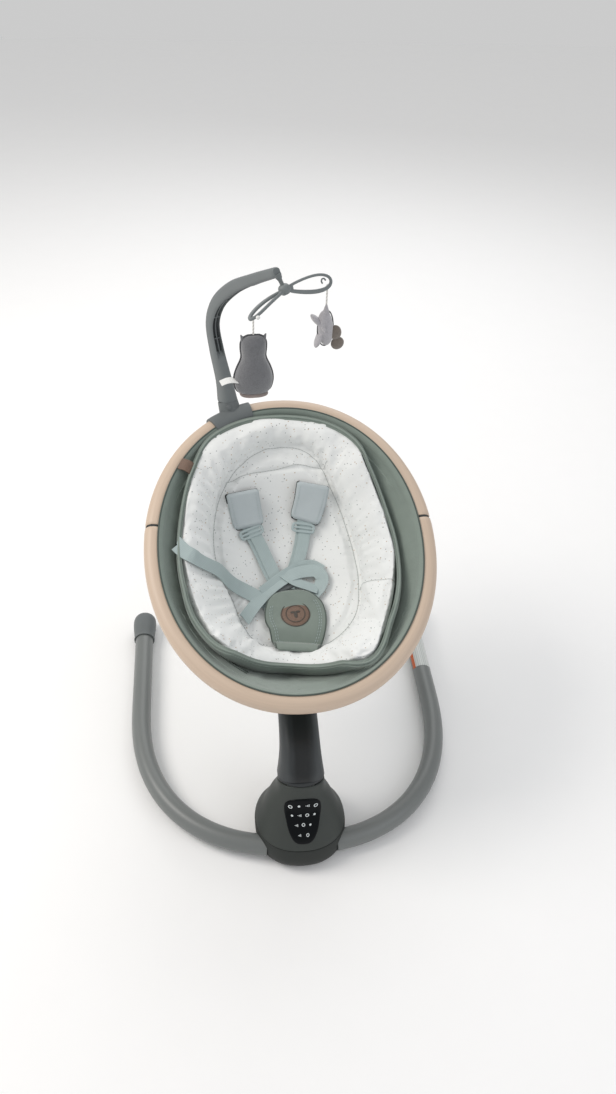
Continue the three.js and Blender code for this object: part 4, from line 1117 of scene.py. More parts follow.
def build_gusset():
    """The sage side panel of the insert, with a cord of piping along its upper edge."""
    angle = around(240)
    deep = 1.0 + 0.030 * smoothstep(0.0, 0.8, -np.sin(angle))
    rows = []
    for height, bulge in ((15, 0.0), (12, 3.2), (6, 4.6), (1.5, 4.0), (0.0, 1.5)):
        reach = deep + bulge / 200
        foot_rise = 8 * smoothstep(0.1, 0.9, -np.sin(angle)) * (height > 5)
        rows.append(pad_surface(reach[None], angle[None], PAD_BOTTOM + height + foot_rise[None])[0])
    outer = np.array(rows)
    inner = outer[::-1].copy()
    inner[..., :2] = PAD_MIDDLE + (inner[..., :2] - PAD_MIDDLE) * 0.975
    band = build("insert_side_panel", (on_seat(np.concatenate([outer, inner])), {"wrap_rows": True}),
                 sharp=70)
    place(band, "seat", finish("sage_padding_weave"), "sage_fabric")
    line = outer[0] + np.array([0, 0, 1.5])
    piping = build("insert_piping", (on_seat(sweep(line, UP, ring_profile(2.0, 2.0, 12), closed=True)),
                                     {"wrap_rows": True}))
    place(piping, "seat", finish("sage_weave"), "sage_fabric")


# ---------------------------------------------------------------- harness

class Bed:
    """What the harness lies on: heights over the finished pad, found by looking down on it."""

    def __init__(self, pad):
        mesh = pad.data
        points = off_seat(points_of(mesh) * 1000)
        faces = [tuple(polygon.vertices) for polygon in mesh.polygons]
        self.tree = BVHTree.FromPolygons(points.tolist(), faces)

    def height(self, u, v):
        """Height of the pad over one place; beside the pad, that of the tub's inner face."""
        hit = self.tree.ray_cast(Vector((float(u), float(v), 120.0)), Vector((0, 0, -1)))
        ground = float(tub_height(np.array(u), np.array(v), 8.0))
        return max(hit[0][2], ground) if hit[0] is not None else ground


def laid_line(bed, path, count, lift=1.2, soften=3):
    """A smooth line over the pad through [across, along, extra height] points, above the pad near it."""
    path = np.array([(p[0], p[1], p[2] if len(p) > 2 else 0.0) for p in path], float)
    line = smooth_line(path, count)
    ground = np.array([max(bed.height(u + du, v + dv) for du,
                           dv in ((0, 0), (9, 0), (-9, 0), (0, 9), (0, -9)))
                       for u, v, _ in line])
    for _ in range(soften):
        padded = np.pad(ground, 1, mode="edge")
        ground = np.maximum(ground, (padded[:-2] + padded[1:-1] + padded[2:]) / 3)
    smooth = np.pad(ground, 2, mode="edge")
    ground = np.maximum(ground, (smooth[:-4] + smooth[1:-3] + smooth[2:-2] + smooth[3:-1] + smooth[4:]) / 5)
    return np.stack([line[:, 0], line[:, 1], ground + lift + line[:, 2]], 1)


def ribbon(line, width, thickness, twist=0.0, ends=0.0, up=(0, 0, 1.0)):
    """A flat tape along a line; ends slants its cut ends, in millimetres; twist rolls it, in radians."""
    section = ring_profile(width / 2, thickness / 2, 28, 9)
    twist = np.broadcast_to(twist, (len(line),))[:, None]
    x, y = section[None, :, 0], section[None, :, 1]
    profile = np.stack([x * np.cos(twist) - y * np.sin(twist), x * np.sin(twist) + y * np.cos(twist)], -1)
    grid = sweep(line, np.array(up, float), profile)
    if ends:
        along = unit(line[1] - line[0])
        grid[0] += (section[:, 0] / width * 2 * ends)[:, None] * along
    return grid


def slab(line, widths, thicknesses, tip_mm, up=(0, 0, 1.0), exponent=5.0):
    """A soft block along a line, with its own width and thickness at each point and rounded ends."""
    run = np.concatenate([[0], np.cumsum(np.linalg.norm(np.diff(line, axis=0), axis=1))])
    near = np.minimum(run, run[-1] - run) / tip_mm
    tip = np.sqrt(np.clip(1 - (1 - np.clip(near, 0, 1)) ** 2, 0.004, 1))
    shape = ring_profile(1.0, 1.0, 56, exponent)[None]
    widths, thicknesses = np.asarray(widths)[:, None], np.asarray(thicknesses)[:, None]
    flat = 1 - (1 - tip[:, None]) * np.minimum(1, tip_mm / widths * 2)
    profile = np.stack([shape[..., 0] * widths / 2 * flat, shape[..., 1] * thicknesses / 2 * tip[:, None]],
                       -1)
    return sweep(line, np.array(up, float), profile)


def rounded_ends(line, tip_mm):
    """The line again, with its points crowded towards both ends so that a rounded tip stays round."""
    run = np.concatenate([[0], np.cumsum(np.linalg.norm(np.diff(line, axis=0), axis=1))])
    step = np.linspace(0, 1, len(line))
    at = run[-1] * (0.5 - 0.5 * np.cos(math.pi * step)) * 0.6 + run[-1] * step * 0.4
    return np.stack([np.interp(at, run, line[:, k]) for k in range(3)], 1)


def stitch_row(line, length, gap, radius):
    """Short stitches along a line, each a small capsule."""
    run = np.concatenate([[0], np.cumsum(np.linalg.norm(np.diff(line, axis=0), axis=1))])
    parts = []
    for start in np.arange(gap, run[-1] - length, length + gap):
        at = np.linspace(start, start + length, 5)
        points = np.stack([np.interp(at, run, line[:, k]) for k in range(3)], 1)
        profile = ring_profile(radius, radius, 6)[None] * np.array([0.5, 0.9, 1, 0.9, 0.5])[:, None, None]
        parts.append(sweep(points, UP, profile))
    return parts


def build_seam_threads(bed):
    """The sewn lines of the insert: thin threads sunk in the seams of its bolster and its head pillow."""
    angle = np.append(around(220), 0.0)
    reach = polar(PAD_SEAM, angle)
    ring = [(PAD_MIDDLE[0] + r * math.cos(a), PAD_MIDDLE[1] + r * math.sin(a)) for r, a in zip(reach, angle)]
    lines = [ring, [(-112, 163), (-84, 174), (-40, 186), (4, 193), (40, 196),
             (84, 188)], [(130, -50), (150, -60), (186, -76)]]
    parts = []
    for path in lines:
        path = smooth_line(np.array(path, float), 90) if len(path) < 9 else even_line(np.array(path, float),
                                                                                      400)
        thread = np.array([(u, v, bed.height(u, v) + 0.25) for u, v in path])
        parts.append(on_seat(sweep(thread, UP, ring_profile(0.75, 0.6, 8))))
    place(build("insert_seam_threads", *parts), "seat", finish("seam_thread"), "speckled_jersey")


def shoulder_pad(bed, name, path, body_node):
    """A padded sleeve round the shoulder tape: a soft block, square at the top and rounded below."""
    line = rounded_ends(laid_line(bed, path, 40, lift=8.5), 10)
    t = np.linspace(0, 1, 40)
    widths = 58 + 5 * (1 - t) - 6 * smoothstep(0.75, 1.0, t)
    block = build(name, on_seat(slab(line, widths, np.full(40, 15.5) - 3 * t, 7, exponent=6)), sharp=75)
    place(block, "seat", finish("shoulder_pad_weave"), "webbing", body_node)
    edges = []
    _, side, top = frames_along(line, UP)
    lining = build(name + "_lining",
                   on_seat(slab(line - top * 4.6 + side * 1.0, widths + 2.0, np.full(40, 7.0), 5)), sharp=75)
    place(lining, "seat", finish("dark_lining"), "webbing")
    for sign in (-1, 1):
        seam = line[3:-2] + side[3:-2] * (sign * (widths[3:-2] / 2 - 0.6))[:, None] + top[3:-2] * 3.2
        edges.append(on_seat(sweep(seam, UP, ring_profile(1.0, 1.0, 10))))
        rows = line[6:-5] + side[6:-5] * (sign * (widths[6:-5] / 2 - 7))[:, None] + top[6:-5] * 7.2
        edges += [on_seat(part) for part in stitch_row(rows, 3.4, 1.8, 0.45)]
    place(build(name + "_seams", *edges), "seat", finish("harness_tape"), "webbing")


def ring_slide(line_middle, along, across, up, half_width, half_length):
    """A ladder-lock slide: a rounded frame with a bar across its middle."""
    turn = around(64)
    frame_line = line_middle + half_width * rounded(np.cos(turn), 5)[:, None] * across \
        + half_length * rounded(np.sin(turn), 5)[:, None] * along
    parts = [(sweep(frame_line, up, ring_profile(2.6, 2.2, 16, 3), closed=True), {"wrap_rows": True})]
    cross = np.linspace(-half_width, half_width, 12)[:, None] * across + line_middle
    parts.append((sweep(cross, up, ring_profile(2.4, 1.8, 14, 3)), {}))
    return parts


def build_harness(pad):
    bed = Bed(pad)
    build_seam_threads(bed)
    thick = sizes().webbing_thickness * 1000
    weave = finish("harness_tape")
    shoulder_pad(bed, "shoulder_sleeve_left", [(-82, 142), (-77, 116), (-70, 83)], "shoulder_pad_left")
    shoulder_pad(bed, "shoulder_sleeve_right", [(57, 156), (50, 128), (37, 94)], "shoulder_pad_right")

    left = laid_line(bed, [(-72, 94, 7), (-67, 76, 5), (-53, 48, 3), (-38, 12, 4), (-26, -20, 8),
                           (-17, -48, 6)], 70, soften=30)
    right = laid_line(bed, [(38, 104, 7), (34, 82, 5), (27, 50, 3), (18, 22, 4), (8, -6, 9), (-2, -34, 8)],
                      70, soften=30)
    roll = 0.10 * np.sin(np.linspace(0, 3.0, 70))
    place(build("shoulder_tape_left", on_seat(ribbon(left, 28, thick, roll))), "seat", weave, "webbing",
          "shoulder_strap_left")
    place(build("shoulder_tape_right", on_seat(ribbon(right, 26, thick, -roll))), "seat", weave, "webbing",
          "shoulder_strap_right")
    second = left[6:60] + [4.5, 1.0, 2.6]
    tail = right[6:56] + [4.0, 1.0, 2.6]
    place(build("shoulder_tape_tails", on_seat(ribbon(second, 24, thick)),
                on_seat(ribbon(tail, 23, thick))), "seat",
          weave, "webbing")

    for name, tape_line, number, width in (("left", left, 9, 22), ("right", right, 10, 20)):
        along, side, top = (v[number] for v in frames_along(tape_line, UP))
        parts = ring_slide(tape_line[number] + top * 3.0, along, side, top, width, 7.5)
        slide = build(f"tape_slide_{name}", *((on_seat(g), o) for g, o in parts))
        place(slide, "seat", finish("pale_nylon_slide"), "dark_plastic", f"strap_adjuster_{name}")

    side_tape = laid_line(bed, [(-205, 8, 3), (-190, -8, 2), (-170, -18, 2), (-133, -22, 2), (-95, -34, 3),
                                (-62, -52, 4),
                                (-40, -66, 5)], 90, soften=60)
    place(build("waist_tape_left",
                on_seat(ribbon(side_tape, 28, thick, 0.05 * np.sin(np.linspace(0, 4, 90)), ends=7))),
          "seat", weave, "webbing", "waist_strap_left")
    crossing = laid_line(bed, [(-88, -98, 3), (-60, -62, 6), (-30, -32, 12), (2, -12, 15), (30, -3, 12),
                               (54, -5, 9),
                               (63, -20, 8), (56, -38, 6), (44, -50, 5)], 110, soften=40)
    place(build("waist_tape_right",
                on_seat(ribbon(crossing, 25, thick, 0.25 * np.sin(np.linspace(0, 5, 110)), ends=-4))),
          "seat", weave, "webbing", "waist_strap_right")
    loops = laid_line(bed, [(-52, -44, 8), (-20, -20, 14), (18, 4, 10), (44, 10, 5), (64, -4, 4)], 60)
    extra = laid_line(bed, [(-14, -2, 12), (10, -24, 15), (34, -34, 12), (54, -42, 7)], 50)
    place(build("waist_tape_folds", on_seat(ribbon(loops, 24, thick, -0.3)),
                on_seat(ribbon(extra, 22, thick, 0.35))),
          "seat", weave, "webbing")

    buckle = laid_line(bed, [(-22, -8, 7), (-12, -24, 8), (-5, -40, 8)], 24)
    place(build("buckle_body", on_seat(slab(rounded_ends(buckle, 5), np.full(24, 44), np.full(24, 8.5), 5)),
                sharp=60),
          "seat", finish("moulded_trim_nylon"), "dark_plastic", "harness_buckle")
    build_crotch_pad(bed)


def build_crotch_pad(bed):
    """The padded flap between the legs: wide and domed above, narrow below, with a darker binding."""
    line = laid_line(bed, [(2, -44, 13), (3, -66, 13), (6, -92, 11), (8, -120, 7), (5, -150, 0),
                           (2, -176, -7)], 60, lift=7)
    line = rounded_ends(line, 14)
    run = np.concatenate([[0], np.cumsum(np.linalg.norm(np.diff(line, axis=0), axis=1))])
    run = run / run[-1]
    widths = spline([0, 0.03, 0.09, 0.19, 0.34, 0.6, 0.85, 1.0], [30, 56, 82, 103, 113, 100, 82, 74],
                    run)[:, 0]
    thick = 13 - 4 * run
    flap = build("crotch_flap", on_seat(slab(line, widths, thick, 7, exponent=3.6)), sharp=75)
    place(flap, "seat", finish("sage_padding_weave"), "sage_fabric", "crotch_pad")
    _, side, top = frames_along(line, UP)
    parts, rows = [], []
    for sign in (-1, 1):
        reach = widths / 2 - 0.5
        edge = line + side * (sign * reach)[:, None] + top * 1.6
        parts.append(on_seat(sweep(edge[3:-3], UP, ring_profile(1.7, 1.7, 10))))
        for inset in (9, 13):
            keep = slice(14, -8)
            lane = line[keep] + side[keep] * (sign * (widths[keep] / 2 - inset))[:, None] \
                + top[keep] * (thick[keep] / 2 + 0.1 - 0.9 * (inset == 9))[:, None]
            rows += [on_seat(part) for part in stitch_row(lane, 4.0, 2.0, 0.5)]
    place(build("crotch_binding", *parts), "seat", finish("dark_binding"), "sage_fabric")
    place(build("crotch_stitching", *rows), "seat", finish("harness_tape"), "webbing")

    # A round leather patch with a plain raised ring and a leaf in its middle.
    at = 23
    centre = line[at] + top[at] * (thick[at] / 2 + 0.6)
    ahead = unit(line[at + 3] - line[at - 3])
    across = side[at]
    turn = around(64)

    def patch(radius_u, radius_v, lifts, shift=(0, 0), exponent=2.0, steps=(1.0, 0.985, 0.93, 0.6, 0.3)):
        outline = radius_u * rounded(np.cos(turn), exponent)[:, None] * across \
            + radius_v * rounded(np.sin(turn), exponent)[:, None] * ahead
        middle = centre + shift[0] * across + shift[1] * ahead
        sag = [(outline * s, lift) for s, lift in zip(steps, lifts)]
        return np.array([middle + o + top[at] * (lift - 0.0022 * np.sum((o) ** 2, 1))[:, None] for o,
                         lift in sag])

    disc = build("badge_patch", on_seat(patch(28, 28, (-0.8, 1.0, 1.7, 1.8, 1.8))), sharp=60)
    place(disc, "seat", finish("tan_leather"), "tan_leather", "crotch_badge")
    marks = []
    for radius in (26, 17.5):
        ring = centre + radius * (np.cos(turn)[:, None] * across + np.sin(turn)[:, None] * ahead)
        ring = ring + top[at] * (2.15 - 0.0022 * radius ** 2)
        marks.append((on_seat(sweep(ring, top[at], ring_profile(0.9, 0.5, 8), closed=True)),
                      {"wrap_rows": True}))
    for shift, size in (((0, 2.5), (3.4, 7.0)), ((-4.6, -3.5), (4.6, 2.4)), ((4.6, -3.5), (4.6, 2.4))):
        marks.append(on_seat(patch(*size, (1.4, 2.1, 2.3, 2.4, 2.4), shift)))
    place(build("badge_marks", *marks), "seat", finish("dark_leather"), "tan_leather")

    # The small folded leather tag that stands from the cover's edge.
    line = smooth_line([(-166, 155, 4), (-173, 158, 14), (-182, 162, 21), (-196, 168, 20.5)], 24)
    tag = slab(line, np.full(24, 24), np.full(24, 2.6), 1.5, exponent=8)
    place(build("edge_tag", on_seat(tag), sharp=60), "seat", finish("tan_leather"), "tan_leather", "side_tag")


# ---------------------------------------------------------------- toy bar and mobile

def toy_point(path):
    path = np.asarray(path, float)
    return CLAMP + path[:, :1] * TOY_PLANE + path[:, 1:] * UP


def build_toy_bar():
    knots = np.concatenate([[0], np.cumsum(np.sqrt(np.linalg.norm(np.diff(toy_point(TOY_PATH), axis=0),
                                                                  axis=1)))])
    at = np.linspace(0, knots[-1], 160)
    line = spline(knots, toy_point(TOY_PATH), at)
    half_width = spline(knots, TOY_HALF_WIDTHS, at)
    half_depth = spline(knots, TOY_HALF_DEPTHS, at)
    along = unit(np.gradient(line, axis=0))
    across = TOY_ACROSS
    inward = unit(np.cross(along, across))
    inward *= np.sign(inward[:1] @ TOY_PLANE)[:, None]
    angle = around(96)[None]
    share = np.linspace(0, 1, 160)[:, None]
    c, s = rounded(np.cos(angle), 2.8), rounded(np.sin(angle), 2.8)
    channel = 0.72 * smoothstep(0.20, 0.28, share) * (1 - smoothstep(0.70, 0.84, share))
    groove = channel * half_width * np.where(c > 0, smoothstep(0.66, 0.50, np.abs(s)), 0)
    grid = line[:, None] + (half_width * c - groove)[..., None] * inward[:, None] \
        + (half_depth * s)[..., None] * across
    for row, size in ((0, 0.97), (-2, 0.96), (-1, 0.82)):
        grid[row] = grid[row].mean(0) + (grid[row] - grid[row].mean(0)) * size
    spindle = lathe([(3.6, 8), (3.4, 12), (3.6, 17), (5.4, 21), (6.6, 27)], MOBILE, MOBILE_AXIS, 32)
    bar = build("toy_bar_beam", grid, spindle, sharp=45)
    place(bar, "toy_bar", finish("moulded_toy_bar_nylon"), "dark_plastic", "toy_bar_arm")

    # Painted shade: a dark strip along the floor of the channel, where shade falls between its walls; the
    # ribs stand over it.
    rows = slice(36, 122)
    floor = line[rows] + inward[rows] * (half_width[rows] * 0.34)
    strip = sweep(floor, across, ring_profile(2.2, 6.0, 20, 6))
    web = line[rows] + inward[rows] * (half_width[rows] * 0.56)
    ribs = [sweep(web, across, ring_profile(2.6, 1.3, 12, 4))]
    for number in (50, 72, 94, 112):
        cross = line[number] + inward[number] * half_width[number] * 0.62 + np.linspace(-6.2, 6.2,
                                                                                        8)[:, None] * across
        ribs.append(sweep(cross, along[number], ring_profile(2.6, 1.0, 12, 4)))
    place(build("toy_bar_channel_shade", strip), "toy_bar", finish("dark_nylon_and_channel_shade"), "dark_plastic")
    place(build("toy_bar_ribs", *ribs), "toy_bar", finish("moulded_trim_nylon"), "dark_plastic")

    # The clamp: a sleeve round the ring, open towards the tub, with a boss along the stem.
    angle = np.radians(np.linspace(103, 121.5, 40))
    ring = rim_point(angle)
    outward = rim_outward(angle)
    turn = np.radians(np.linspace(-62, 208,
                                  60))  # from the tub side below, round the outside, to the tub side above
    shell = []
    for radius, ways in ((22.3, turn), (18.0, turn[::-1])):
        shell.append(ring[:, None] + radius * (np.cos(ways)[None, :, None] * outward[:, None]
                                               + np.sin(ways)[None, :, None] * UP))
    sleeve = np.concatenate(shell, axis=1)
    for row, size in ((0, 0.5), (-1, 0.5)):
        sleeve[row] += (ring[row] - sleeve[row]) * 0.03 * size
    boss = lathe([(20.5, -1), (20.8, 4), (20.4, 14), (19.8, 22), (19.3, 28), (18.8, 29.7), (9.5, 29.9)],
                 CLAMP,
                 STEM_AXIS)
    clamp = build("toy_bar_saddle", on_seat(sleeve), boss, sharp=40)
    place(clamp, "seat", finish("moulded_trim_nylon"), "dark_plastic", "toy_bar_clamp")


def vane_axes(direction, face_on):
    """Axes of a vane: along it, across it and square to its face."""
    along = unit(direction)
    front = np.array([-0.08, -0.9, 0.43])
    face = unit(front - along * (front @ along))
    normal = face if face_on else unit(np.cross(along, front) + 0.45 * face)
    return along, np.cross(normal, along), normal


def vane(direction, face_on, half_width):
    """An open leaf: a flat loop, narrow at the hub, widest past the middle and pointed at its tip."""
    along, wide, normal = vane_axes(direction, face_on)
    turn = around(120)
    reach = 0.5 - 0.5 * np.cos(turn)
    half = half_width * np.sin(turn) * (0.45 + 0.55 * reach) * 1.15
    curl = 5.0 * np.sin(math.pi * reach) * 0.6
    line = MOBILE + (6 + (VANE_LENGTH - 8) * reach)[:, None] * along + (half - 1.5 * reach)[:, None] * wide \
        + curl[:, None] * normal
    thick = 2.3 + 1.3 * np.clip(-np.sin(turn), 0, 1)
    profile = ring_profile(1, 1, 16, 2.6)[None] * np.stack([thick, np.full_like(thick, 2.6)], -1)[:, None]
    loop = (sweep(line, normal, profile, closed=True), {"wrap_rows": True})
    stalk_line = MOBILE + np.linspace(3, 16, 8)[:, None] * along
    stalk = sweep(stalk_line, normal,
                  ring_profile(5.4, 3.2, 20, 2.6) * np.linspace(1.1, 0.8, 8)[:, None, None])
    return [loop, stalk], along, wide, normal


def build_mobile():
    hub = [(6.0, -8), (7.0, -7.2), (9.2, -4), (10.2, 0), (9.4, 4.6), (7.0, 7.6), (4.2, 8.5)]
    profile = spline(np.arange(len(hub)), hub, np.linspace(0, len(hub) - 1, 40))
    place(build("mobile_boss", lathe(profile, MOBILE, MOBILE_AXIS)), "mobile", finish("moulded_vane_nylon"),
          "dark_plastic",
          "mobile_hub")
    knobs = []
    for name, direction, face_on, half in (("left", VANE_LEFT, False, 9.5),
                                           ("right", VANE_RIGHT, True, 14.5)):
        parts, along, wide, normal = vane(direction, face_on, half)
        if face_on:
            turn = np.linspace(0, 4.0, 30)
            hook = MOBILE + (VANE_LENGTH - 17) * along + (4.2 * np.cos(turn))[:, None] * along \
                + (4.2 * np.sin(turn))[:, None] * wide
            parts.append(sweep(hook, normal, ring_profile(1.3, 1.6, 12)))
        place(build(f"mobile_leaf_{name}", *parts), "mobile", finish("moulded_vane_nylon"), "dark_plastic",
              f"mobile_vane_{name}")
        hook = BIRD_HOOK if face_on else OWL_HOOK
        knobs.append(ball(hook + [0, 0, 1.6], (2.4, 2.4, 3.4)))
        if not face_on:
            knobs.append(ball(MOBILE + along * 88 + wide * 9.5, (3.6, 3.6, 3.2)))
    place(build("mobile_cord_knots", *knobs), "mobile", finish("white_nylon"), "cord_white")


# ---------------------------------------------------------------- hanging toys

def toy_axes(turn):
    """Across, facing and up for a toy turned by that angle."""
    across = np.array([math.cos(turn), math.sin(turn), 0])
    facing = np.array([-math.sin(turn), math.cos(turn), 0])
    return across, facing, UP


def stuffed(rows, foot, turn, count=60, sides=56, exponent=2.2):
    """A stuffed body: smoothed oval rings of [height, half width, half depth, shift across]."""
    across, facing, up = toy_axes(turn)
    rows = np.asarray(rows, float)
    knots = np.arange(len(rows))
    values = spline(knots, rows, np.linspace(0, knots[-1], count))
    angle = around(sides)[None]
    height, half, depth, shift = (values[:, k:k + 1] for k in range(4))
    x = shift + half * rounded(np.cos(angle), exponent)
    y = depth * rounded(np.sin(angle), exponent)
    return np.asarray(foot) + x[..., None] * across + y[..., None] * facing + height[..., None] * up


def outline_piping(rows, foot, turn, radius, count=160):
    """A cord of piping round a toy's outline, up one side and down the other."""
    across, _, up = toy_axes(turn)
    rows = np.asarray(rows, float)
    values = spline(np.arange(len(rows)), rows, np.linspace(0, len(rows) - 1, count // 2))
    right = np.stack([values[:, 3] + values[:, 1] + 0.4, values[:, 0]], 1)
    left = np.stack([values[:, 3] - values[:, 1] - 0.4, values[:, 0]], 1)[::-1]
    loop = np.concatenate([right, left])
    line = np.asarray(foot) + loop[:, :1] * across + loop[:, 1:] * up
    line = even_line(np.vstack([line, line[:1]]), count + 1)[:-1]
    facing = toy_axes(turn)[1]
    return sweep(line, facing, ring_profile(radius, radius, 10), closed=True), {"wrap_rows": True}


def ball(centre, sizes_mm, turn=0.0, tilt=0.0, exponent=2.0):
    """A stuffed oval: half sizes across, deep and high, turned about the vertical and tilted in its plane."""
    across, facing, up = toy_axes(turn)
    first = across * math.cos(tilt) + up * math.sin(tilt)
    third = -across * math.sin(tilt) + up * math.cos(tilt)
    rise = np.linspace(-0.96, 0.96, 26) * math.pi / 2
    angle = around(40)[None]
    x = sizes_mm[0] * np.cos(rise)[:, None] * rounded(np.cos(angle), exponent)
    y = sizes_mm[1] * np.cos(rise)[:, None] * rounded(np.sin(angle), exponent)
    z = np.broadcast_to(sizes_mm[2] * np.sin(rise)[:, None], x.shape)
    return np.asarray(centre) + x[..., None] * first + y[..., None] * facing + z[..., None] * third


def hang(name, hook, top, node_name, body, radius):
    """A cord straight down from its hook into the toy's head; the knot at the hook is made with the mobile.
    """
    line = np.linspace([hook[0], hook[1], hook[2]], [hook[0], hook[1], top], 16)
    profile = ring_profile(radius, radius, 12)
    cord = build(name, sweep(line, [0, 1.0, 0], profile))
    place(cord, body, finish("white_cotton_cord"), "cord_white", node_name)


def build_owl():
    turn = 0.1
    across, facing, up = toy_axes(turn)
    foot = np.array([OWL_HOOK[0], OWL_HOOK[1], OWL_FOOT])
    rows = [(1, 12, 7, 0), (4, 22, 12, 0), (10, 28.5, 17, 0), (24, 32, 20.5, 0), (38, 31, 21, 0),
            (52, 26.5, 19, 0),
            (63, 21.5, 16, 0), (72, 19.5, 15, 0), (84, 20.5, 15, 0), (96, 20, 12.5, 0), (104, 15.5, 8.5, 0),
            (107.5, 9, 4.5, 0)]
    body = build("owl_body", stuffed(rows, foot, turn))
    place(body, "owl", finish("grey_plush"), "felt", "owl_toy")
    ears = []
    for sign in (-1, 1):
        line = foot + np.linspace([sign * 14, 0, 94], [sign * 20.5, 0, 109],
                                  14) @ np.stack([across, facing, up])
        profile = ring_profile(1, 1, 20)[None] * np.stack([np.linspace(7, 0.9, 14),
                                                           np.linspace(5, 0.8, 14)], -1)[:, None]
        ears.append(sweep(line, facing, profile))
    place(build("owl_ears", *ears), "owl", finish("grey_plush"), "felt")
    place(build("owl_piping", outline_piping(rows, foot, turn, 1.8)), "owl", finish("dark_piping"), "felt")
    feet = ball(foot - facing * 4 + up * 3.2, (24, 15, 4.6), turn, exponent=2.6)
    place(build("owl_feet", feet), "owl", finish("mauve_plush"), "felt")
    line = foot + np.linspace([-28, -6, 30], [-56, -10, 29], 16) @ np.stack([across, facing, up])
    line[:, 2] += 3.0 * np.sin(np.linspace(0, math.pi, 16))
    tag = sweep(line, facing, ring_profile(0.5, 9.0, 20, 6))
    place(build("owl_tag", tag), "owl", finish("white_tag"), "felt")


def build_bird():
    turn = 0.2
    across, facing, up = toy_axes(turn)
    foot = np.array([BIRD_HOOK[0], BIRD_HOOK[1], BIRD_FOOT])
    body = ball(foot + up * 52, (14, 13, 33), turn, tilt=0.10)
    piece = build("bird_body", body)
    place(piece, "bird", finish("light_plush"), "felt", "bird_toy")
    leaf = [ball(foot - across * 15 + facing * 4 + up * 66, (5.5, 11, 15), turn, tilt=0.75),
            ball(foot - across * 12 - facing * 2 + up * 34, (5, 10, 17), turn, tilt=-0.35)]
    place(build("bird_wing_upper", *leaf), "bird", finish("light_plush"), "felt")
    brown = [ball(foot + across * 17 - facing * 5 + up * 44, (11, 5, 14), turn, tilt=0.25),
             ball(foot + across * 22 - facing * 5 + up * 23, (12, 5.5, 12), turn, tilt=0.1)]
    place(build("bird_wing_lower", *brown), "bird", finish("brown_plush"), "felt")
    line = foot + np.linspace([0, 0, 80], [0, 0, 96.5], 14) @ np.stack([across, facing, up])
    spike = sweep(line, facing, ring_profile(1, 1, 20)[None] * np.linspace(6.5, 1.2, 14)[:, None, None])
    beak = foot + np.linspace([-6, -6, 58], [-8, -22, 55], 12) @ np.stack([across, facing, up])
    beak = sweep(beak, up, ring_profile(1, 1, 20)[None] * np.linspace(5.0, 0.9, 12)[:, None, None])
    place(build("bird_crest_and_beak", spike, beak), "bird", finish("light_plush"), "felt")
    ring = around(120)
    line = foot + up * 52 + (14.2 * np.cos(ring))[:, None] * across + (33.4 * np.sin(ring))[:, None] * up
    place(build("bird_piping",
                (sweep(line, facing, ring_profile(1.1, 1.1, 10), closed=True), {"wrap_rows": True})),
          "bird", finish("dark_piping"), "felt")


# ---------------------------------------------------------------- working parts kept from the frame

KEPT = {
    "turned_steel": ["housing_screw_1", "housing_screw_2", "housing_screw_3", "bearing_frame",
                     "pivot_bearing_upper",
                     "pivot_bearing_lower", "pivot_shaft", "drive_magnet"],
    "enamelled_copper": ["drive_coil"],
    "solder_mask": ["control_board"],
    "dark_nylon_and_channel_shade": ["speaker", "magnet_lever", "rim_joint_left", "rim_joint_right"],
    "matte_rubber": ["floor_pad", "power_socket"],
}
ROUNDED = [
    ("swivel_plate", "turned_steel", "bare_steel", 0.6),
    ("recline_bracket", "turned_steel", "bare_steel", 0.8),
    ("recline_pin", "turned_steel", "bare_steel", 0.5), ("seat_base", "moulded_arm_abs", "dark_plastic", 2.0),
    ("seat_hub", "moulded_collar_abs", "dark_plastic", 0.8),
    ("cradle_hoop", "powder_coated_steel", "grey_steel", 0.5),
    ("recline_lever", "moulded_trim_nylon", "dark_plastic", 1.5),
    ("seat_release_button", "moulded_trim_nylon", "dark_plastic", 0.8),
    ("toy_bar_release", "moulded_trim_nylon", "dark_plastic", 0.8),
]


def body_with(node_name):
    bodies = frame["record"]["behaviour"]["bodies"]
    return next(body for body, members in bodies.items() if node_name in members)


def finish_workings():
    for material, names in KEPT.items():
        for name in names:
            slots = frame["nodes"][name].data.materials
            slots.clear()
            slots.append(finish(material))
    for name, material, slot, edge in ROUNDED:
        refined(name, body_with(name), finish(material), slot, edge)


# ---------------------------------------------------------------- stage

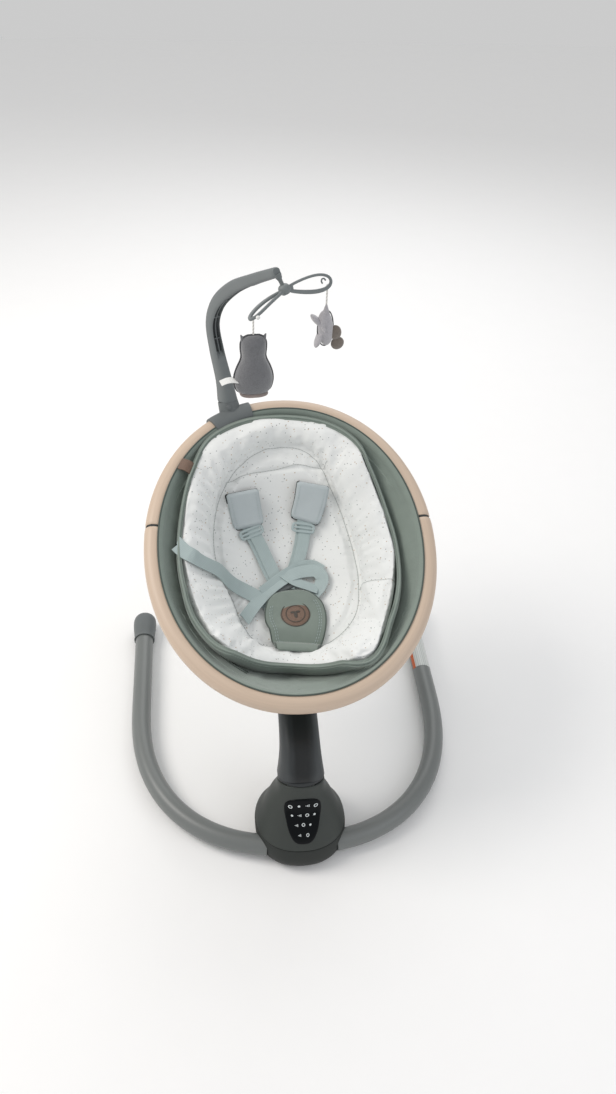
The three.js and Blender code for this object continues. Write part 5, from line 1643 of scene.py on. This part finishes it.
def build_stage():
    scene = bpy.context.scene
    grid = np.stack(np.meshgrid(np.linspace(-6000, 6000, 13), np.linspace(-6000, 6000, 13), [-0.5]),
                    -1)[:, :, 0]
    floor = build("studio_floor", (grid, {"wrap_cols": False, "poles": False}))
    if floor.data.polygons[0].normal.z < 0:
        floor.data.flip_normals()
    floor.data.materials.append(finish("white_studio_floor"))

    # The camera looks down at the seat from the foot end.
    yaw, pitch, roll = math.radians(7.43), math.radians(40.5), math.radians(2.65)
    ahead = Vector((math.sin(yaw) * math.cos(pitch), math.cos(yaw) * math.cos(pitch), -math.sin(pitch)))
    right = Vector((math.cos(yaw), -math.sin(yaw), 0))
    up = right.cross(ahead)
    turned_right = right * math.cos(roll) + up * math.sin(roll)
    turned_up = up * math.cos(roll) - right * math.sin(roll)
    lens = bpy.data.cameras.new("camera")
    lens.lens = 31.36
    lens.sensor_width = 36
    lens.clip_end = 60
    camera = bpy.data.objects.new("camera", lens)
    rotation = Matrix((turned_right, turned_up, -ahead)).transposed().to_4x4()
    camera.matrix_world = Matrix.Translation((-0.1393, -0.9801, 1.5678)) @ rotation
    scene.collection.objects.link(camera)
    scene.camera = camera

    for name, place_at, target, width, power, tone in (
            ("key", (-2.1, 0.5, 2.5), (0, 0.3, 0.4), 1.5, 44, "#fffaf4"),
            ("fill", (1.9, -1.3, 1.8), (0, 0.3, 0.3), 2.0, 11, "#f2f6ff"),
            ("back", (0.5, 2.5, 2.2), (0, 0.3, 0.4), 1.8, 20, "#ffffff")):
        light = bpy.data.lights.new(name, "AREA")
        light.shape, light.size, light.energy, light.color = "SQUARE", width, power, linear(tone)[:3]
        lamp = bpy.data.objects.new(name, light)
        lamp.location = place_at
        lamp.rotation_euler = (Vector(target) - Vector(place_at)).to_track_quat("-Z", "Y").to_euler()
        scene.collection.objects.link(lamp)
    world = bpy.data.worlds.new("studio")
    world.use_nodes = True
    background = world.node_tree.nodes["Background"]
    background.inputs["Color"].default_value = linear("#ffffff")
    background.inputs["Strength"].default_value = 0.60
    scene.world = world
    scene.view_settings.view_transform = "Standard"


# ---------------------------------------------------------------- operators

class SWING_OT_stage(bpy.types.Operator):
    """Adds the floor, the soft studio light and the camera"""
    bl_idname = "swing.stage"
    bl_label = "Stage"

    def execute(self, context):
        build_stage()
        return {"FINISHED"}


class SWING_OT_toys(bpy.types.Operator):
    """Adds the owl and the bird on their cords"""
    bl_idname = "swing.toys"
    bl_label = "Hanging toys"

    def execute(self, context):
        radius = sizes().cord_radius * 1000
        hang("owl_hanging_cord", OWL_HOOK, OWL_TOP, "owl_cord", "owl", radius)
        hang("bird_hanging_cord", BIRD_HOOK, BIRD_TOP, "bird_cord", "bird", radius)
        build_owl()
        build_bird()
        return {"FINISHED"}


class SWING_OT_base(bpy.types.Operator):
    """Adds the floor tubes, the rear feet and the label"""
    bl_idname = "swing.base"
    bl_label = "Floor base"

    def execute(self, context):
        build_base()
        return {"FINISHED"}


class SWING_OT_housing(bpy.types.Operator):
    """Adds the drive housing, its control window and the collar"""
    bl_idname = "swing.housing"
    bl_label = "Drive housing"

    def execute(self, context):
        build_housing()
        return {"FINISHED"}


class SWING_OT_arm(bpy.types.Operator):
    """Adds the swing arm's casing and its underside"""
    bl_idname = "swing.arm"
    bl_label = "Swing arm"

    def execute(self, context):
        build_arm()
        return {"FINISHED"}


class SWING_OT_workings(bpy.types.Operator):
    """Finishes the working parts that keep the frame's shape"""
    bl_idname = "swing.workings"
    bl_label = "Working parts"

    def execute(self, context):
        finish_workings()
        return {"FINISHED"}


class SWING_OT_seat(bpy.types.Operator):
    """Adds the seat ring and the fabric cover"""
    bl_idname = "swing.seat"
    bl_label = "Seat ring and cover"

    def execute(self, context):
        build_ring()
        build_cover()
        return {"FINISHED"}


class SWING_OT_padding(bpy.types.Operator):
    """Adds the insert pad, then lays the harness on it"""
    bl_idname = "swing.padding"
    bl_label = "Insert and harness"

    def execute(self, context):
        build_harness(build_insert())
        return {"FINISHED"}


class SWING_OT_toy_bar(bpy.types.Operator):
    """Adds the toy bar, its clamp and the mobile"""
    bl_idname = "swing.toy_bar"
    bl_label = "Toy bar and mobile"

    def execute(self, context):
        build_toy_bar()
        build_mobile()
        return {"FINISHED"}


class SWING_PT_panel(bpy.types.Panel):
    """Settings and build steps of the baby swing"""
    bl_label = "Baby swing"
    bl_idname = "SWING_PT_panel"
    bl_space_type = "VIEW_3D"
    bl_region_type = "UI"
    bl_category = "Swing"

    def draw(self, context):
        for group in (context.scene.swing_sizes, context.scene.swing_colours):
            for key in group.__annotations__:
                self.layout.prop(group, key)
        for operator in OPERATORS:
            self.layout.operator(operator.bl_idname)


OPERATORS = (SWING_OT_stage, SWING_OT_toys, SWING_OT_base, SWING_OT_housing, SWING_OT_arm, SWING_OT_workings,
             SWING_OT_seat, SWING_OT_padding, SWING_OT_toy_bar)


def register():
    for made in (SwingSizes, SwingColours, *OPERATORS, SWING_PT_panel):
        bpy.utils.register_class(made)
    bpy.types.Scene.swing_sizes = PointerProperty(type=SwingSizes)
    bpy.types.Scene.swing_colours = PointerProperty(type=SwingColours)


def unregister():
    del bpy.types.Scene.swing_colours
    del bpy.types.Scene.swing_sizes
    for made in reversed((SwingSizes, SwingColours, *OPERATORS, SWING_PT_panel)):
        bpy.utils.unregister_class(made)


def main():
    register()
    bpy.ops.swing.stage()
    bpy.ops.swing.toys()
    bpy.ops.swing.base()
    bpy.ops.swing.housing()
    bpy.ops.swing.arm()
    bpy.ops.swing.workings()
    bpy.ops.swing.seat()
    bpy.ops.swing.padding()
    bpy.ops.swing.toy_bar()


if __name__ == "__main__":
    main()
